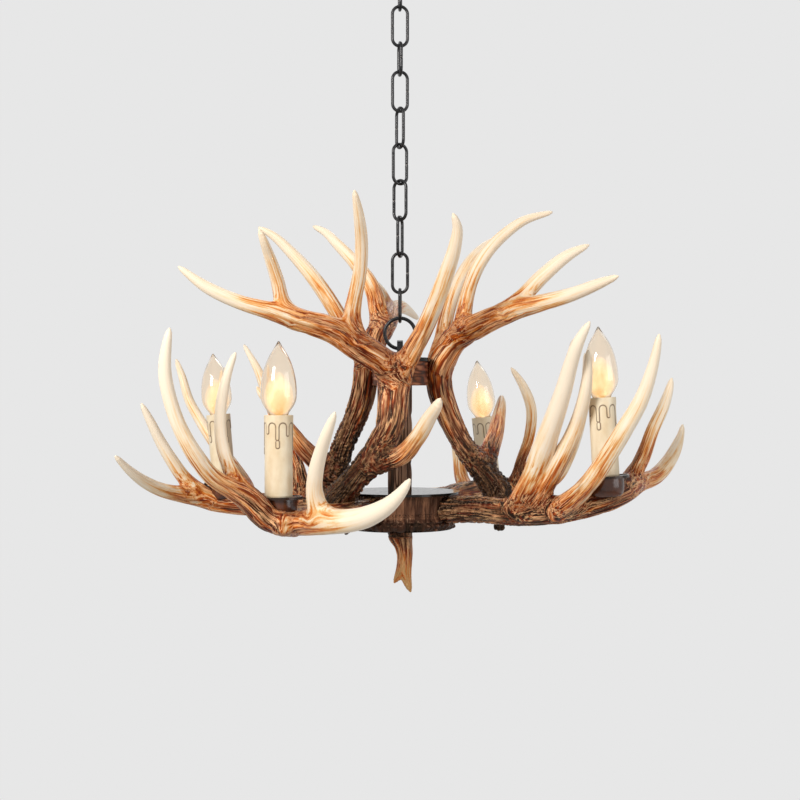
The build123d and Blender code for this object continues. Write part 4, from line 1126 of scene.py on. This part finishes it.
def stand(points, azimuth, out, side, up, lean):
    """Carry a candle's own points, z up from the pan's seat, to its place and lean on the lamp."""
    x, y = from_hub(azimuth, hub_r + out, side)
    lean_x, lean_z = sin(radians(lean)), cos(radians(lean))
    tilt = np.array([[lean_z, 0, -lean_x], [0, 1, 0], [lean_x, 0, lean_z]])
    return np.asarray(points) @ tilt.T + (x, y, lower_seat_z + up)


def spun(profile, around=32):
    """Points of a profile of (radius, height) spun about z, and its faces closed at both poles."""
    radius, height = np.asarray(profile, float).T
    angle = whole_turn(around)
    x, y = np.outer(radius, np.cos(angle)), np.outer(radius, np.sin(angle))
    points = np.stack([x, y, np.repeat(height[:, None], around, 1)], -1).reshape(-1, 3)
    points = np.concatenate([points, [[0, 0, height[0]]], [[0, 0, height[-1]]]])
    count = len(radius) * around
    faces = grid_faces(len(radius), around, False, True).tolist()
    faces += [[count, (k + 1) % around, k] for k in range(around)]
    last = count - around
    faces += [[count + 1, last + k, last + (k + 1) % around] for k in range(around)]
    return points, faces


glow_start = 9


def glow_profile(width, top):
    """An egg's outline, widest at two fifths of its height: the width times the 0.6th power of
    sin(pi t^0.76), where t runs from its foot to its top."""
    t = np.linspace(0.004, 0.996, 26)
    rise = bulb_foot + glow_start + (top - glow_start) * t
    return np.column_stack([width * np.sin(pi * t**0.76) ** 0.6, rise])


# Each glowing shell's widest radius, its top above the bulb's foot, and its heat.
glow_shells = ((4, 30, 1), (6, 34, 0.9), (8, 38, 0.7), (10, 42, 0.42), (12, 46, 0.18), (14, 50, 0))
stem_heat = 0.6
stem_profile = np.column_stack([np.full(8, 2.4), np.linspace(bulb_foot + 1, bulb_foot + 16, 8)])
for name, (azimuth, out, side, up, lean, turn) in candle_seats.items():
    dress(pan_metal, f"drip_pan_{name}")
    dress(cup_glaze, f"candle_cup_{name}")
    dress(holder_plastic, f"lampholder_{name}")
    dress(brass, f"bulb_cap_{name}")
    dress(bulb_clear, f"bulb_glass_{name}")
    points, dark, rows, columns = sleeve_points(turn)
    points = stand(points + (0, 0, pan_t), azimuth, out, side, up, lean)
    sleeve = skin(f"wax_sleeve_{name}", points, grid_faces(rows, columns, True, True)[:, ::-1], wax)
    mark(sleeve, "outline", dark)
    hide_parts(f"candle_sleeve_{name}")
    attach(sleeve, "lamp")
    shells = [spun(glow_profile(width, top), 40) for width, top, _ in glow_shells]
    heat = np.repeat([warmth for *_, warmth in glow_shells], len(shells[0][0]))
    points, faces = gathered(shells)
    points = stand(points, azimuth, out, side, up, lean)
    flame = skin(f"bulb_flame_{name}", points, faces, bulb_flame)
    mark(flame, "heat", heat)
    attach(flame, f"bulb_{name}")
    points, faces = spun(stem_profile, 20)
    points = stand(points, azimuth, out, side, up, lean)
    stem = skin(f"bulb_stem_{name}", points, faces, bulb_flame)
    mark(stem, "heat", np.full(len(points), stem_heat))
    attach(stem, f"bulb_{name}")


# ---------------------------------------------------------------------------------------------
# Stage: a pale floor under the hanging lamp, a pale surround, and soft studio light from the
# front left, the front right and behind. The camera, the glass and the gloss see the surround
# pale, and for all other light it is dimmer.
# ---------------------------------------------------------------------------------------------
pale = (0.799, 0.799, 0.799)
floor_glow = 0.5
floor_half, floor_z = 3500, -2300
floor_paint, tree, shader = new_finish("floor_paint", pale, 0.7)
dust = ramp(tree, wear_noise(tree, 3, 4), (0.3, (0.78, 0.78, 0.78)), (0.7, (0.8, 0.8, 0.8)))
tree.links.new(dust, shader.inputs["Base Color"])
seen_by = tree.nodes.new("ShaderNodeLightPath")
lift = maths(tree, "MULTIPLY", seen_by.outputs["Is Camera Ray"], floor_glow)
tree.links.new(lift, shader.inputs["Emission Strength"])
shader.inputs["Emission Color"].default_value = (*pale, 1)
corners = [(-1, -1), (1, -1), (1, 1), (-1, 1)]
corners = [(x * floor_half, y * floor_half, floor_z) for x, y in corners]
floor = skin("floor", corners, [(0, 1, 2, 3)], floor_paint)

world = bpy.data.worlds.new("surround")
bpy.context.scene.world = world
world.use_nodes = True
tree = world.node_tree
sky = tree.nodes["Background"]
sky.inputs["Color"].default_value = (1, 1, 1, 1)
sky.inputs["Strength"].default_value = 0.31
seen = tree.nodes.new("ShaderNodeBackground")
seen.inputs["Color"].default_value = (*pale, 1)
seen_by = tree.nodes.new("ShaderNodeLightPath")
shown = seen_by.outputs["Is Camera Ray"]
for ray in ("Is Transmission Ray", "Is Glossy Ray"):
    shown = maths(tree, "MAXIMUM", shown, seen_by.outputs[ray])
pick = tree.nodes.new("ShaderNodeMixShader")
tree.links.new(shown, pick.inputs["Fac"])
tree.links.new(sky.outputs[0], pick.inputs[1])
tree.links.new(seen.outputs[0], pick.inputs[2])
tree.links.new(pick.outputs[0], tree.nodes["World Output"].inputs["Surface"])

for name, place, size, power, warmth in (
    ("key", (-1.3, -1.9, 0.5), 0.8, 60, (1, 0.98, 0.95)),
    ("fill", (1.9, -1.2, -0.2), 1.4, 16, (0.97, 0.98, 1)),
    ("back", (0.4, 1.9, 1.2), 1.4, 9, (1, 1, 1)),
):
    lamp = bpy.data.objects.new(name, bpy.data.lights.new(name, "AREA"))
    lamp.location = place
    lamp.data.size = size
    lamp.data.energy = power
    lamp.data.color = warmth
    toward = np.array([0, 0, -0.55]) - place
    steep = np.arctan2(hypot(*toward[:2]), -toward[2])
    lamp.rotation_euler = (steep, 0, np.arctan2(toward[1], toward[0]) - pi / 2)
    bpy.context.scene.collection.objects.link(lamp)

bpy.context.scene.view_settings.view_transform = "Standard"
